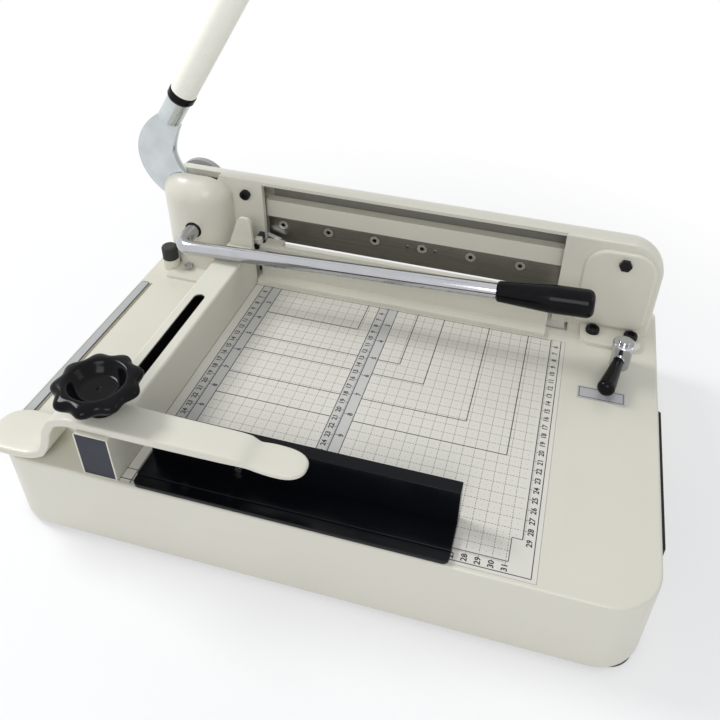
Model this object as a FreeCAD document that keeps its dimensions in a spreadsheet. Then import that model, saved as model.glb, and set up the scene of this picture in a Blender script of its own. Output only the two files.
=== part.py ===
import FreeCAD, Part
import math
import os
import Sketcher
from FreeCAD import Placement, Rotation, Vector

# Driving dimensions, in millimetres and degrees.
# x counts from the side guide, y from the cut line (minus is towards the user), z from the table top.
SIZES = {
    # base casting
    "left_margin": 122.0,
    "right_margin": 10.0,
    "base_depth": 360.0,
    "table_height": 85.0,
    "rear_margin": 34.0,
    "base_wall": 4.0,
    "top_wall": 6.0,
    "front_corner_radius": 40.0,
    "rear_corner_radius": 15.0,
    "base_edge_radius": 2.5,
    # rubber feet
    "foot_height": 5.0,
    "foot_radius": 15.0,
    "foot_inset": 28.0,
    "foot_seat": 4.0,
    "foot_boss_wall": 4.0,
    "foot_taper": 1.5,
    # general fits
    "seat_gap": 0.3,
    "running_gap": 0.05,
    "side_gap": 0.5,
    # printed table plate
    "plate_past": 17.0,
    "table_rim": 4.0,
    "plate_rear": 50.0,
    "plate_thickness": 1.2,
    # cutting stick
    "stick_past": 14.0,
    "stick_front": 27.0,
    "stick_rear": 9.0,
    "stick_thickness": 5.8,
    "stick_slit": 3.2,
    "stick_bed": 8.0,
    # margin strip
    "strip_width": 11.7,
    "strip_edge": 1.0,
    "strip_thickness": 1.2,
    "strip_rear": 82.0,
    "groove_width": 3.0,
    "groove_depth": 3.0,
    # side guide rail
    "rail_width": 30.0,
    "rail_height": 47.0,
    "rail_wall": 3.0,
    "rail_rim": 3.0,
    "rail_rear": 46.0,
    "rail_round": 2.5,
    "slot_width": 11.0,
    "slot_rear": 137.0,
    "fin_height": 35.0,
    "fin_thickness": 4.0,
    "fin_foot": 28.0,
    "fin_tip": 14.0,
    "fin_round": 6.5,
    "plug_face": 2.0,
    "plug_rim": 1.5,
    "plug_tongue": 10.0,
    # side frames and beam
    "opening_length": 317.0,
    "frame_height": 108.0,
    "frame_rear": 19.0,
    "frame_round": 27.0,
    "block_inset": 5.0,
    "left_block_front": 45.0,
    "left_block_right": 34.0,
    "left_block_radius": 44.0,
    "left_block_corner": 28.0,
    "left_block_edge": 24.0,
    "panel_front": 17.0,
    "panel_wall": 6.0,
    "panel_lap": 20.0,
    "rear_wall": 5.3,
    "frame_ceiling": 7.0,
    "right_length": 97.0,
    "right_corner": 35.0,
    "right_edge": 4.0,
    "right_cavity": 83.0,
    "beam_roof": 3.5,
    "beam_skirt": 45.0,
    "pad_left": 21.0,
    "pad_right": 91.0,
    "pad_low": 6.0,
    "pad_high": 98.0,
    "pad_proud": 3.5,
    "pad_corner": 24.0,
    "pad_edge": 3.3,
    # feet of the frames and their bolts
    "right_foot_left": 30.0,
    "right_foot_right": 90.0,
    "right_foot_front": 47.5,
    "right_foot_thick": 4.0,
    "right_foot_corner": 10.0,
    "left_foot_left": 97.0,
    "left_foot_right": 50.0,
    "left_foot_front": 67.5,
    "left_foot_thick": 3.0,
    "foot_bolt_y": 28.2,
    "foot_bolt_near": 42.2,
    "foot_bolt_far": 79.9,
    "foot_bolt_radius": 7.0,
    "foot_bolt_head": 5.0,
    "foot_bolt_shank": 4.0,
    "left_bolt_x": 80.0,
    "left_bolt_y": 49.2,
    "left_bolt_radius": 4.0,
    "left_bolt_head": 5.0,
    "left_bolt_shank": 2.5,
    # bolts in the two panels
    "panel_bolt_left_x": 18.8,
    "panel_bolt_left_z": 91.0,
    "panel_bolt_right_x": 59.5,
    "panel_bolt_right_z": 85.0,
    "panel_bolt_radius": 5.5,
    "panel_bolt_head": 4.0,
    "panel_bolt_shank": 3.0,
    # stop cap in front of the left frame
    "cap_x": 101.8,
    "cap_y": 46.6,
    "cap_seat_radius": 9.2,
    "cap_seat_height": 12.0,
    "cap_radius": 8.5,
    "cap_height": 15.7,
    # knife and carriage
    "knife_edge": 26.0,
    "knife_top": 59.7,
    "knife_thickness": 4.0,
    "knife_bevel": 13.0,
    "knife_land": 0.6,
    "knife_left": 2.0,
    "knife_right": 3.0,
    "knife_up": 12.3,
    "knife_down": 25.8,
    "knife_sideways": 0.15,
    "lip_low": 60.0,
    "lip_high": 80.6,
    "lip_front": 4.0,
    "carriage_rear": 13.2,
    "carriage_low": 36.0,
    "carriage_chamfer": 7.0,
    "end_plate_low": 27.0,
    "end_plate_high": 81.0,
    "end_plate_left": 40.0,
    "end_plate_right": 75.0,
    "guide_pin_left": 22.0,
    "guide_pin_right": 55.0,
    "guide_pin_z": 47.3,
    "guide_pin_radius": 5.0,
    "knife_screw_first": 14.0,
    "knife_screw_last": 41.0,
    "knife_screw_count": 6,
    "knife_screw_z": 48.0,
    "knife_screw_head": 5.6,
    "knife_screw_sink": 2.4,
    "knife_screw_shank": 3.0,
    "knife_screw_length": 9.0,
    "knife_hole_near": 155.4,
    "knife_hole_far": 185.3,
    "knife_hole_radius": 2.2,
    # main lever and its crank
    "pivot_x": 88.5,
    "pivot_z": 74.0,
    "pivot_radius": 7.5,
    "disc_radius": 28.0,
    "disc_thickness": 8.0,
    "disc_boss": 18.0,
    "nut_across": 22.0,
    "nut_thickness": 4.0,
    "leaf_thickness": 10.0,
    "leaf_plane": 16.0,
    "leaf_reach": 47.4,
    "hub_radius": 18.0,
    "hub_neck": 14.5,
    "lever_slot_right": 48.2,
    "lever_slot_low": 55.0,
    "lever_slot_gap": 0.8,
    "crank_thickness": 8.0,
    "crank_radius": 27.5,
    "crank_rest_angle": 15.2,
    "crank_pin_radius": 3.5,
    "crank_eye": 7.0,
    "crank_slot_gap": 0.8,
    "crank_slot_wall": 2.5,
    "crank_tab_rear": 9.5,
    "crank_tab_chamfer": 2.0,
    "lever_angle": 57.3,
    "lever_offset": 56.15,
    "lever_collar": 101.9,
    "neck_radius": 12.2,
    "neck_length": 31.0,
    "neck_blend": 3.0,
    "neck_root": 8.0,
    "spigot_length": 45.0,
    "ring_radius": 14.0,
    "ring_length": 9.7,
    "tube_radius": 13.2,
    "tube_wall": 2.0,
    "tube_length": 419.0,
    "lever_grip_length": 112.0,
    "lever_grip_radius": 15.4,
    "lever_grip_edge": 1.0,
    # clamp lever
    "clamp_x": 70.0,
    "clamp_z": 53.2,
    "clamp_rod_radius": 7.6,
    "clamp_rod_y": 78.0,
    "clamp_bend": 15.0,
    "clamp_rest_rise": 2.85,
    "clamp_grip_start": 55.5,
    "clamp_grip_end": 35.0,
    "clamp_grip_thin": 10.0,
    "clamp_grip_thick": 13.6,
    "clamp_grip_round": 7.0,
    "clamp_bush_radius": 9.1,
    "clamp_bush_length": 13.0,
    "clamp_bush_proud": 0.6,
    "clamp_crank_front": 10.5,
    "clamp_crank_rear": 4.5,
    "clamp_crank_hub": 10.0,
    "clamp_crank_eye": 6.5,
    "clamp_pin_x": 9.0,
    "clamp_pin_z": 28.2,
    "clamp_pin_radius": 3.5,
    "clamp_pin_front": 25.0,
    # clamp plate
    "clamp_left": 1.0,
    "clamp_right": 4.5,
    "clamp_front": 48.0,
    "clamp_rear": 5.0,
    "sole_thickness": 4.0,
    "web_front": 34.0,
    "web_thickness": 7.0,
    "web_top": 39.0,
    "lug_right": 20.5,
    "lug_rear": 12.0,
    "lug_half_height": 8.0,
    "shoe_low": 2.0,
    "tongue_left": 5.5,
    "tongue_low": 20.0,
    "tongue_high": 47.0,
    "shoe_screw_z": 40.0,
    "shoe_screw_radius": 3.6,
    "shoe_screw_head": 3.0,
    "shoe_screw_shank": 2.0,
    "post_left": 14.0,
    "post_right": 17.0,
    "post_y": 40.0,
    "post_radius": 4.0,
    "post_length": 62.0,
    "bush_wall": 3.0,
    "bush_length": 28.0,
    "bush_boss_wall": 4.0,
    # gauge: arm, fence, knob; distances before and behind the knob
    "gauge_inset": 26.0,
    "arm_before": 18.0,
    "arm_behind": 9.0,
    "arm_thickness": 8.7,
    "arm_bend": 112.0,
    "arm_bend_round": 10.0,
    "arm_drop": 6.0,
    "finger_thickness": 5.0,
    "finger_width": 26.0,
    "finger_end": 156.5,
    "arch_start": 26.0,
    "arch_side": 28.0,
    "arch_side_z": 33.0,
    "arch_knee": 30.0,
    "arch_knee_z": 20.0,
    "arch_round": 8.0,
    "shoulder_side": 33.0,
    "shoulder_foot": 50.0,
    "shoulder_round": 16.0,
    "paw_left": 125.0,
    "paw_right": 74.0,
    "paw_before": 26.0,
    "paw_behind": 12.0,
    "paw_height": 18.0,
    "paw_corner": 14.0,
    "fence_left": 14.0,
    "fence_right": 47.0,
    "fence_behind": 19.0,
    "fence_wall": 11.0,
    "fence_height": 42.0,
    "fence_lift": 0.5,
    "fence_step_before": 14.0,
    "fence_step_z": 6.0,
    "fence_before": 25.0,
    "fence_foot": 4.6,
    "fence_corner": 8.0,
    "fence_block_left": 30.0,
    "fence_block_right": 95.0,
    "fence_block_depth": 10.0,
    "fence_block_low": 30.0,
    "fence_screw_radius": 3.0,
    "fence_screw_head": 5.0,
    "fence_screw_inset": 12.5,
    "face_screw_x": 91.0,
    "face_screw_z": 9.0,
    "face_screw_head": 2.8,
    "face_screw_thick": 1.6,
    "face_screw_shank": 1.5,
    "knob_lobes": 9,
    "knob_disc": 32.0,
    "knob_lobe": 8.0,
    "knob_lobe_at": 27.3,
    "knob_low": 76.0,
    "knob_high": 86.0,
    "knob_cup": 22.5,
    "knob_cup_floor": 12.0,
    "knob_cup_depth": 10.0,
    "knob_neck": 13.0,
    "knob_flare": 24.0,
    "knob_edge": 2.4,
    "knob_bore_depth": 12.0,
    "knob_dimple": 1.6,
    "knob_reach": 34.885,
    "stud_radius": 4.0,
    "stud_top": 66.0,
    "slide_nut_width": 20.0,
    "slide_nut_length": 26.0,
    "slide_nut_height": 7.0,
    # lock lever and label plate
    "lock_x": 70.2,
    "lock_y": 68.0,
    "lock_hub_height": 29.0,
    "lock_hub_radius": 9.5,
    "lock_disc_radius": 10.8,
    "lock_disc_height": 7.0,
    "lock_boss_radius": 5.5,
    "lock_boss_length": 11.3,
    "lock_boss_z": 13.0,
    "lock_handle_angle": 255.5,
    "lock_handle_thin": 5.3,
    "lock_handle_thick": 8.7,
    "lock_handle_length": 46.0,
    "lock_handle_round": 6.0,
    "lock_screw_radius": 3.0,
    "lock_screw_head": 5.4,
    "label_left": 33.0,
    "label_right": 77.0,
    "label_front": 124.0,
    "label_rear": 108.0,
    "label_thickness": 0.8,
    # carrying handles on both side walls
    "handle_front": 260.0,
    "handle_rear": 105.0,
    "handle_top": 13.0,
    "handle_bottom": 45.0,
    "handle_proud": 5.0,
    "handle_chamfer": 3.5,
}


class Dim:
    """A size that carries its number and the formula in sheet cells that gives it."""

    def __init__(self, value, text):
        self.value = value
        self.text = text

    def __float__(self):
        return float(self.value)

    def __repr__(self):
        return f"{self.value:.3f}"

    def __add__(self, other):
        other = dim(other)
        return Dim(self.value + other.value, f"({self.text} + {other.text})")

    def __sub__(self, other):
        other = dim(other)
        return Dim(self.value - other.value, f"({self.text} - {other.text})")

    def __mul__(self, other):
        other = dim(other)
        return Dim(self.value * other.value, f"({self.text} * {other.text})")

    def __truediv__(self, other):
        other = dim(other)
        return Dim(self.value / other.value, f"({self.text} / {other.text})")

    def __neg__(self):
        return Dim(-self.value, f"(0 - {self.text})")

    def __radd__(self, other):
        return dim(other) + self

    def __rsub__(self, other):
        return dim(other) - self

    def __rmul__(self, other):
        return dim(other) * self


def dim(value):
    if isinstance(value, Dim):
        return value
    return Dim(float(value), f"({float(value)})")


# The document and its sheet of sizes
doc = FreeCAD.newDocument("stack_paper_cutter")
sheet = doc.addObject("Spreadsheet::Sheet", "Sizes")
for row, (alias, value) in enumerate(SIZES.items(), start=1):
    sheet.set(f"A{row}", alias)
    sheet.set(f"B{row}", str(value))
    sheet.setAlias(f"B{row}", alias)
doc.recompute()


class Sheet:
    """Gives each cell of the sheet as a size: S.table_height."""

    def __getattr__(self, alias):
        return Dim(float(sheet.get(alias)), f"Sizes.{alias}")


S = Sheet()
BASE_RIGHT = S.opening_length + S.right_length + S.right_margin
FRONT_REACH = S.base_depth - S.rear_margin
KNOB_Y = FRONT_REACH - S.gauge_inset
# The origin lies on the floor, under the middle of the whole object's outline
ZERO_X = (S.pivot_x + S.leaf_reach - BASE_RIGHT - S.handle_proud) / 2
ZERO_Y = (KNOB_Y + S.knob_reach - S.rear_margin) / 2


def along(distance):
    """A place to the right of the side guide."""
    return ZERO_X + distance


def past(distance):
    """A place to the right of the opening's right end."""
    return ZERO_X + S.opening_length + distance


def back(distance):
    """A place behind the cut line; minus is in front of it."""
    return ZERO_Y + distance


def up(distance):
    """A place above the table top."""
    return S.table_height + distance


def bind(target, path, size):
    """Binds a property to the sheet, or sets a plain number."""
    target.setExpression(path, dim(size).text)


def place(target, x, y, z, rotation=None):
    target.Placement = Placement(Vector(float(x), float(y), float(z)), rotation or Rotation())
    bind(target, "Placement.Base.x", x)
    bind(target, "Placement.Base.y", y)
    bind(target, "Placement.Base.z", z)


def rectangle(low_u, low_v, high_u, high_v):
    return [(low_u, low_v), (high_u, low_v), (high_u, high_v), (low_u, high_v)]


def rounded_outline(corners):
    """Lines and arcs of a closed outline; a corner (u, v, radius) is rounded."""
    spots = [Vector(float(c[0]), float(c[1]), 0) for c in corners]
    radii = [float(c[2]) if len(c) > 2 else 0.0 for c in corners]
    ends = []
    arcs = []
    for i, spot in enumerate(spots):
        before = (spots[i - 1] - spot).normalize()
        after = (spots[(i + 1) % len(spots)] - spot).normalize()
        half = before.getAngle(after) / 2
        if radii[i] == 0:
            ends.append((spot, spot))
            arcs.append(None)
            continue
        setback = radii[i] / math.tan(half)
        start = spot + before * setback
        end = spot + after * setback
        middle = (before + after).normalize()
        crown = spot + middle * (radii[i] / math.sin(half) - radii[i])
        ends.append((start, end))
        arcs.append(Part.Arc(start, crown, end))
    curves = []
    for i in range(len(spots)):
        if arcs[i]:
            curves.append(arcs[i])
        start = ends[i][1]
        end = ends[(i + 1) % len(spots)][0]
        if start.distanceToPoint(end) > 1e-6:
            curves.append(Part.LineSegment(start, end))
    return curves


PLANES = {"x": ("YZ_Plane", 1), "y": ("XZ_Plane", -1), "z": ("XY_Plane", 1)}


class Piece:
    """A body built feature by feature from bound sketches."""

    def __init__(self, name):
        self.name = name
        self.count = 0
        self.body = doc.addObject("PartDesign::Body", name)
        self.body.Label = name

    def sketch(self, axis, level):
        role, sense = PLANES[axis]
        self.count += 1
        sketch = self.body.newObject("Sketcher::SketchObject", f"{self.name}_sketch_{self.count}")
        planes = [item for item in self.body.Origin.OriginFeatures if item.Role == role]
        sketch.AttachmentSupport = [(planes[0], "")]
        sketch.MapMode = "FlatFace"
        bind(sketch, "AttachmentOffset.Base.z", level * sense)
        return sketch

    def draw(self, sketch, shape):
        """Draws a circle (u, v, radius) or a closed outline of corners."""
        if isinstance(shape, tuple):
            u, v, radius = shape
            centre = Vector(float(u), float(v), 0)
            index = sketch.addGeometry(Part.Circle(centre, Vector(0, 0, 1), float(radius)))
            self.fix(sketch, "DistanceX", index, 3, u)
            self.fix(sketch, "DistanceY", index, 3, v)
            number = sketch.addConstraint(Sketcher.Constraint("Radius", index, float(radius)))
            bind(sketch, f"Constraints[{number}]", radius)
            return
        if any(len(corner) > 2 for corner in shape):
            sketch.addGeometry(rounded_outline(shape))
            return
        first = sketch.GeometryCount
        spots = [Vector(float(u), float(v), 0) for u, v in shape]
        for i, spot in enumerate(spots):
            sketch.addGeometry(Part.LineSegment(spot, spots[(i + 1) % len(spots)]))
        for i, (u, v) in enumerate(shape):
            following = first + (i + 1) % len(spots)
            sketch.addConstraint(Sketcher.Constraint("Coincident", first + i, 2, following, 1))
            self.fix(sketch, "DistanceX", first + i, 1, u)
            self.fix(sketch, "DistanceY", first + i, 1, v)

    def fix(self, sketch, kind, index, spot, size):
        number = sketch.addConstraint(Sketcher.Constraint(kind, -1, 1, index, spot, float(size)))
        bind(sketch, f"Constraints[{number}]", size)

    def volume(self):
        doc.recompute()
        return self.body.Shape.Volume if self.body.Tip else 0.0

    def feature(self, kind, axis, shapes, low, high):
        low = dim(low)
        high = dim(high)
        sense = PLANES[axis][1]
        start = low if (kind == "Pad") == (sense > 0) else high
        before = self.volume()
        sketch = self.sketch(axis, start)
        for shape in shapes:
            self.draw(sketch, shape)
        feature = self.body.newObject(f"PartDesign::{kind}", f"{self.name}_{kind}_{self.count}")
        feature.Profile = sketch
        bind(feature, "Length", high - low)
        after = self.volume()
        if kind == "Pad" and after <= before or kind == "Pocket" and after >= before:
            raise RuntimeError(f"{feature.Name} of {self.name} changed nothing: {before} {after}")
        return feature

    def pad(self, axis, shapes, low, high):
        return self.feature("Pad", axis, shapes, low, high)

    def cut(self, axis, shapes, low, high):
        return self.feature("Pocket", axis, shapes, low, high)

    def turn(self, corners):
        """Turns an outline of (along x, radius) about the x axis of the piece."""
        sketch = self.sketch("y", dim(0))
        self.draw(sketch, corners)
        feature = self.body.newObject("PartDesign::Revolution", f"{self.name}_turn_{self.count}")
        feature.Profile = sketch
        feature.ReferenceAxis = (sketch, ["H_Axis"])
        feature.Angle = 360
        doc.recompute()

    def revolve(self, kind, corners):
        """Turns an outline of (radius, height) about the z axis of the piece, to add or to cut."""
        sketch = self.sketch("y", dim(0))
        self.draw(sketch, corners)
        before = self.volume()
        feature = self.body.newObject(kind, f"{self.name}_turn_{self.count}")
        feature.Profile = sketch
        feature.ReferenceAxis = (sketch, ["V_Axis"])
        feature.Angle = 360
        if abs(self.volume() - before) < 1e-6:
            raise RuntimeError(f"{feature.Name} of {self.name} changed nothing")

    def edges(self, spots):
        """Names of the edges that pass through the given spots."""
        shape = self.body.Shape
        names = []
        for spot in spots:
            vertex = Part.Vertex(Vector(*[float(value) for value in spot]))
            gaps = [edge.distToShape(vertex)[0] for edge in shape.Edges]
            names.append(f"Edge{gaps.index(min(gaps)) + 1}")
            if min(gaps) > 0.5:
                raise RuntimeError(f"{self.name}: no edge at {spot}, nearest is {min(gaps)}")
        return names

    def dress(self, kind, path, size, spots):
        before = self.volume()
        names = self.edges(spots)
        self.count += 1
        base = self.body.Tip
        feature = self.body.newObject(f"PartDesign::{kind}", f"{self.name}_{kind}_{self.count}")
        feature.Base = (base, names)
        bind(feature, path, size)
        after = self.volume()
        if "Invalid" in feature.State or abs(after - before) < 1e-6:
            raise RuntimeError(f"{self.name}: {kind} at {spots} failed")

    def fillet(self, radius, *spots):
        self.dress("Fillet", "Radius", radius, spots)

    def chamfer(self, size, *spots):
        self.dress("Chamfer", "Size", size, spots)


def cylinder(name, axis, u, v, radius, low, high):
    """A bound cylinder along an axis, from low to high."""
    low = dim(low)
    high = dim(high)
    item = doc.addObject("Part::Cylinder", name)
    item.Label = name
    bind(item, "Radius", radius)
    bind(item, "Height", high - low)
    if axis == "z":
        place(item, u, v, low)
    if axis == "y":
        place(item, u, high, v, Rotation(Vector(1, 0, 0), 90))
    if axis == "x":
        place(item, low, u, v, Rotation(Vector(0, 1, 0), 90))
    return item


def hexagon(name, axis, u, v, across, low, high):
    """A bound hexagonal bar along an axis, measured across its flats."""
    low = dim(low)
    high = dim(high)
    item = doc.addObject("Part::Prism", name)
    item.Label = name
    item.Polygon = 6
    bind(item, "Circumradius", across / math.sqrt(3))
    bind(item, "Height", high - low)
    if axis == "z":
        place(item, u, v, low)
    if axis == "y":
        place(item, u, high, v, Rotation(Vector(1, 0, 0), 90))
    return item


def block(name, low_x, low_y, low_z, high_x, high_y, high_z):
    item = doc.addObject("Part::Box", name)
    item.Label = name
    bind(item, "Length", high_x - low_x)
    bind(item, "Width", high_y - low_y)
    bind(item, "Height", high_z - low_z)
    place(item, low_x, low_y, low_z)
    return item


def fused(name, items):
    item = doc.addObject("Part::MultiFuse", name)
    item.Label = name
    item.Shapes = items
    return item


def less(name, base, tool):
    item = doc.addObject("Part::Cut", name)
    item.Label = name
    item.Base = base
    item.Tool = tool
    return item


def group(name, items):
    item = doc.addObject("Part::Compound", name)
    item.Label = name
    item.Links = items
    return item


nodes = []


def keep(item):
    """Marks a finished sub-part for export under its label."""
    nodes.append(item.body if isinstance(item, Piece) else item)
    return nodes[-1]


LEFT = along(-S.left_margin)
RIGHT = along(BASE_RIGHT)
FRONT = back(-FRONT_REACH)
REAR = back(S.rear_margin)
TOP = S.table_height
MIDDLE_X = (LEFT + RIGHT) / 2


# Base casting: an open box with round corners, bosses for the feet and seats for the table
base = Piece("base_casting")
base.pad("z", [rectangle(LEFT, FRONT, RIGHT, REAR)], S.foot_height, TOP)
base.fillet(S.front_corner_radius, (LEFT, FRONT, TOP / 2), (RIGHT, FRONT, TOP / 2))
base.fillet(S.rear_corner_radius, (LEFT, REAR, TOP / 2), (RIGHT, REAR, TOP / 2))
base.fillet(S.base_edge_radius, (MIDDLE_X, FRONT, TOP))
inner = [
    (LEFT + S.base_wall, FRONT + S.base_wall, S.front_corner_radius - S.base_wall),
    (RIGHT - S.base_wall, FRONT + S.base_wall, S.front_corner_radius - S.base_wall),
    (RIGHT - S.base_wall, REAR - S.base_wall, S.rear_corner_radius - S.base_wall),
    (LEFT + S.base_wall, REAR - S.base_wall, S.rear_corner_radius - S.base_wall),
]
base.cut("z", [inner], S.foot_height, TOP - S.top_wall)
foot_spots = [
    (LEFT + S.foot_inset, FRONT + S.foot_inset),
    (RIGHT - S.foot_inset, FRONT + S.foot_inset),
    (RIGHT - S.foot_inset, REAR - S.foot_inset),
    (LEFT + S.foot_inset, REAR - S.foot_inset),
]
for x, y in foot_spots:
    base.pad("z", [(x, y, S.foot_radius + S.foot_boss_wall)], S.foot_height, TOP - S.top_wall)
    base.cut("z", [(x, y, S.foot_radius + S.running_gap)], S.foot_height, S.foot_height + S.foot_seat)
stick_bed = rectangle(
    along(-S.stick_bed),
    back(-S.stick_front - S.stick_bed),
    past(S.stick_past + S.stick_bed),
    back(S.stick_rear + S.stick_bed),
)
base.pad("z", [stick_bed], TOP - S.top_wall - S.stick_thickness, TOP - S.top_wall)
post_spots = [
    (along(S.post_left), back(-S.post_y)),
    (past(-S.post_right), back(-S.post_y)),
]
bush_radius = S.post_radius + S.running_gap + S.bush_wall
for x, y in post_spots:
    base.pad("z", [(x, y, bush_radius + S.bush_boss_wall)], TOP - S.bush_length, TOP - S.top_wall)
    base.cut("z", [(x, y, bush_radius + S.running_gap)], TOP - S.bush_length, TOP)
base.cut("z", [rectangle(
    along(-S.seat_gap),
    back(-S.stick_front - S.stick_slit),
    past(S.stick_past + S.stick_slit),
    back(S.stick_rear + S.seat_gap),
)], TOP - S.stick_thickness, TOP)
base.cut("z", [rectangle(
    along(0) - S.seat_gap / 10,
    FRONT + S.table_rim - S.seat_gap,
    past(S.plate_past) + S.seat_gap,
    back(-S.plate_rear) + S.seat_gap,
)], TOP - S.plate_thickness, TOP)
groove_left = LEFT + S.strip_edge + S.strip_width
base.cut("z", [rectangle(
    groove_left,
    FRONT + S.table_rim,
    groove_left + S.groove_width,
    back(-S.strip_rear),
)], TOP - S.groove_depth, TOP)
foot_bolt_holes = [
    (past(S.foot_bolt_near), back(-S.foot_bolt_y), S.foot_bolt_shank + S.running_gap),
    (past(S.foot_bolt_far), back(-S.foot_bolt_y), S.foot_bolt_shank + S.running_gap),
]
left_bolt_hole = (along(-S.left_bolt_x), back(-S.left_bolt_y), S.left_bolt_shank + S.running_gap)
lock_hole = (past(S.lock_x), back(-S.lock_y), S.lock_screw_radius + S.running_gap)
base.cut("z", [*foot_bolt_holes, left_bolt_hole, lock_hole], TOP - S.top_wall, TOP)
keep(base)

# Rubber feet, pushed into the bosses
feet = []
for number, (x, y) in enumerate(foot_spots):
    foot = cylinder(f"foot_{number}", "z", x, y, S.foot_radius, S.foot_height, S.foot_height + S.foot_seat)
    sole = doc.addObject("Part::Cone", f"foot_sole_{number}")
    bind(sole, "Radius1", S.foot_radius - S.foot_taper)
    bind(sole, "Radius2", S.foot_radius)
    bind(sole, "Height", S.foot_height)
    place(sole, x, y, dim(0))
    feet.append(fused(f"rubber_foot_{number}", [foot, sole]))
keep(group("rubber_feet", feet))

# Table plate, flush with the casting
table = Piece("table_plate")
table.pad("z", [rectangle(
    along(0), FRONT + S.table_rim, past(S.plate_past), back(-S.plate_rear),
)], TOP - S.plate_thickness, TOP)
keep(table)

# Cutting stick, in its slit under the knife
stick = Piece("cutting_stick")
stick.pad("z", [rectangle(
    along(0), back(-S.stick_front), past(S.stick_past), back(S.stick_rear),
)], TOP - S.stick_thickness, TOP)
keep(stick)

# Strip along the left margin, with a bevelled rear end
strip = Piece("margin_strip")
strip.pad("z", [[
    (LEFT + S.strip_edge + S.base_edge_radius, FRONT + S.table_rim),
    (groove_left, FRONT + S.table_rim),
    (groove_left, back(-S.strip_rear) - S.strip_width),
    (groove_left - S.strip_width / 2, back(-S.strip_rear)),
    (LEFT + S.strip_edge + S.base_edge_radius, back(-S.strip_rear)),
]], TOP, TOP + S.strip_thickness)
keep(strip)

# Side guide rail: a hollow bar with a slot for the knob's stud and an upright tab at its rear
rail_left = along(-S.rail_width)
rail_outline = [
    (rail_left, TOP),
    (along(0), TOP),
    (along(0), up(S.rail_height), S.rail_round),
    (rail_left, up(S.rail_height), S.rail_wall),
]
rail_front = FRONT + S.rail_rim
rail = Piece("side_guide_rail")
rail.pad("y", [rail_outline], rail_front, back(-S.rail_rear))
rail.cut("y", [rectangle(
    rail_left + S.rail_wall,
    TOP + S.rail_wall,
    along(0) - S.rail_wall,
    up(S.rail_height) - S.rail_wall,
)], rail_front, back(-S.rail_rear) - S.fin_thickness)
slot_x = along(-S.rail_width / 2)
slot_start = back(-KNOB_Y)
slot_end = back(-S.slot_rear) - S.slot_width / 2
rail.cut("z", [rectangle(
    slot_x - S.slot_width / 2, slot_start, slot_x + S.slot_width / 2, slot_end,
)], up(S.rail_height) - S.rail_wall, up(S.rail_height))
for end in (slot_start, slot_end):
    rail.cut("z", [(slot_x, end, S.slot_width / 2)], up(S.rail_height) - S.rail_wall, up(S.rail_height))
plug_seat = S.plug_rim - S.seat_gap
rail.cut("y", [rectangle(
    rail_left + plug_seat,
    TOP + plug_seat,
    along(0) - plug_seat,
    up(S.rail_height) - plug_seat,
)], rail_front, rail_front + S.plug_face)
fin_top = up(S.rail_height + S.fin_height)
rail.pad("y", [[
    (along(-S.fin_foot), up(S.rail_height) - S.rail_wall),
    (along(0) - S.seat_gap, up(S.rail_height) - S.rail_wall),
    (along(0) - S.seat_gap, up(S.rail_height - S.rail_round)),
    (along(0) - S.seat_gap, fin_top, S.fin_round),
    (along(-S.fin_tip), fin_top, S.fin_round),
]], back(-S.rail_rear) - S.fin_thickness, back(-S.rail_rear))
keep(rail)

# Plug in the front end of the rail
plug = Piece("rail_end_plug")
plug.pad("y", [rectangle(
    rail_left + S.plug_rim,
    TOP + S.plug_rim,
    along(0) - S.plug_rim,
    up(S.rail_height) - S.plug_rim,
)], rail_front, rail_front + S.plug_face)
plug.pad("y", [rectangle(
    rail_left + S.rail_wall + S.seat_gap,
    TOP + S.rail_wall + S.seat_gap,
    along(0) - S.rail_wall - S.seat_gap,
    up(S.rail_height) - S.rail_wall - S.seat_gap,
)], rail_front + S.plug_face, rail_front + S.plug_tongue)
keep(plug)

# Left side frame: a domed block for the lever, a set-back panel beside the opening, and a foot
block_left = LEFT + S.block_inset
block_right = along(-S.left_block_right)
block_front = back(-S.left_block_front)
frame_rear = back(S.frame_rear)
frame_top = up(S.frame_height)
frame_mid_x = (LEFT + block_right) / 2
left_frame = Piece("left_side_frame")
left_frame.pad("z", [rectangle(block_left, block_front, block_right, frame_rear)], TOP, frame_top)
left_frame.fillet(S.frame_round, (frame_mid_x, frame_rear, frame_top))
left_frame.fillet(S.left_block_radius, (block_left, block_front, up(S.pivot_z) / 2 + TOP / 2))
left_frame.fillet(S.left_block_corner, (block_right, block_front, up(S.pivot_z) / 2 + TOP / 2))
left_frame.fillet(S.left_block_edge, (frame_mid_x, block_front, frame_top))
panel_profile = [
    (back(-S.panel_front), TOP),
    (back(-S.panel_front), frame_top),
    (frame_rear, frame_top, S.frame_round),
    (frame_rear, TOP),
]
left_frame.pad("x", [panel_profile], block_right - S.panel_lap, along(0))
left_frame.pad("z", [rectangle(
    along(-S.left_foot_left),
    back(-S.left_foot_front),
    along(-S.left_foot_right),
    block_front + S.left_block_edge,
)], TOP, up(S.left_foot_thick))
shaft_centre = (along(-S.clamp_x), up(S.clamp_z))
pivot_centre = (along(-S.pivot_x), up(S.pivot_z))
left_bolt = (along(-S.panel_bolt_left_x), up(S.panel_bolt_left_z))
right_bolt = (past(S.panel_bolt_right_x), up(S.panel_bolt_right_z))
left_pin = (along(-S.guide_pin_left), up(S.guide_pin_z))
right_pin = (past(S.guide_pin_right), up(S.guide_pin_z))
left_frame.pad("y", [(*pivot_centre, S.disc_boss)], back(0), frame_rear)
cavity_front = back(-S.panel_front) + S.panel_wall
cavity_rear = frame_rear - S.rear_wall
cavity_top = frame_top - S.frame_ceiling
crank_room_rear = back(S.crank_tab_rear + S.side_gap)
crank_room_edge = S.crank_tab_chamfer * 1.5
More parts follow.
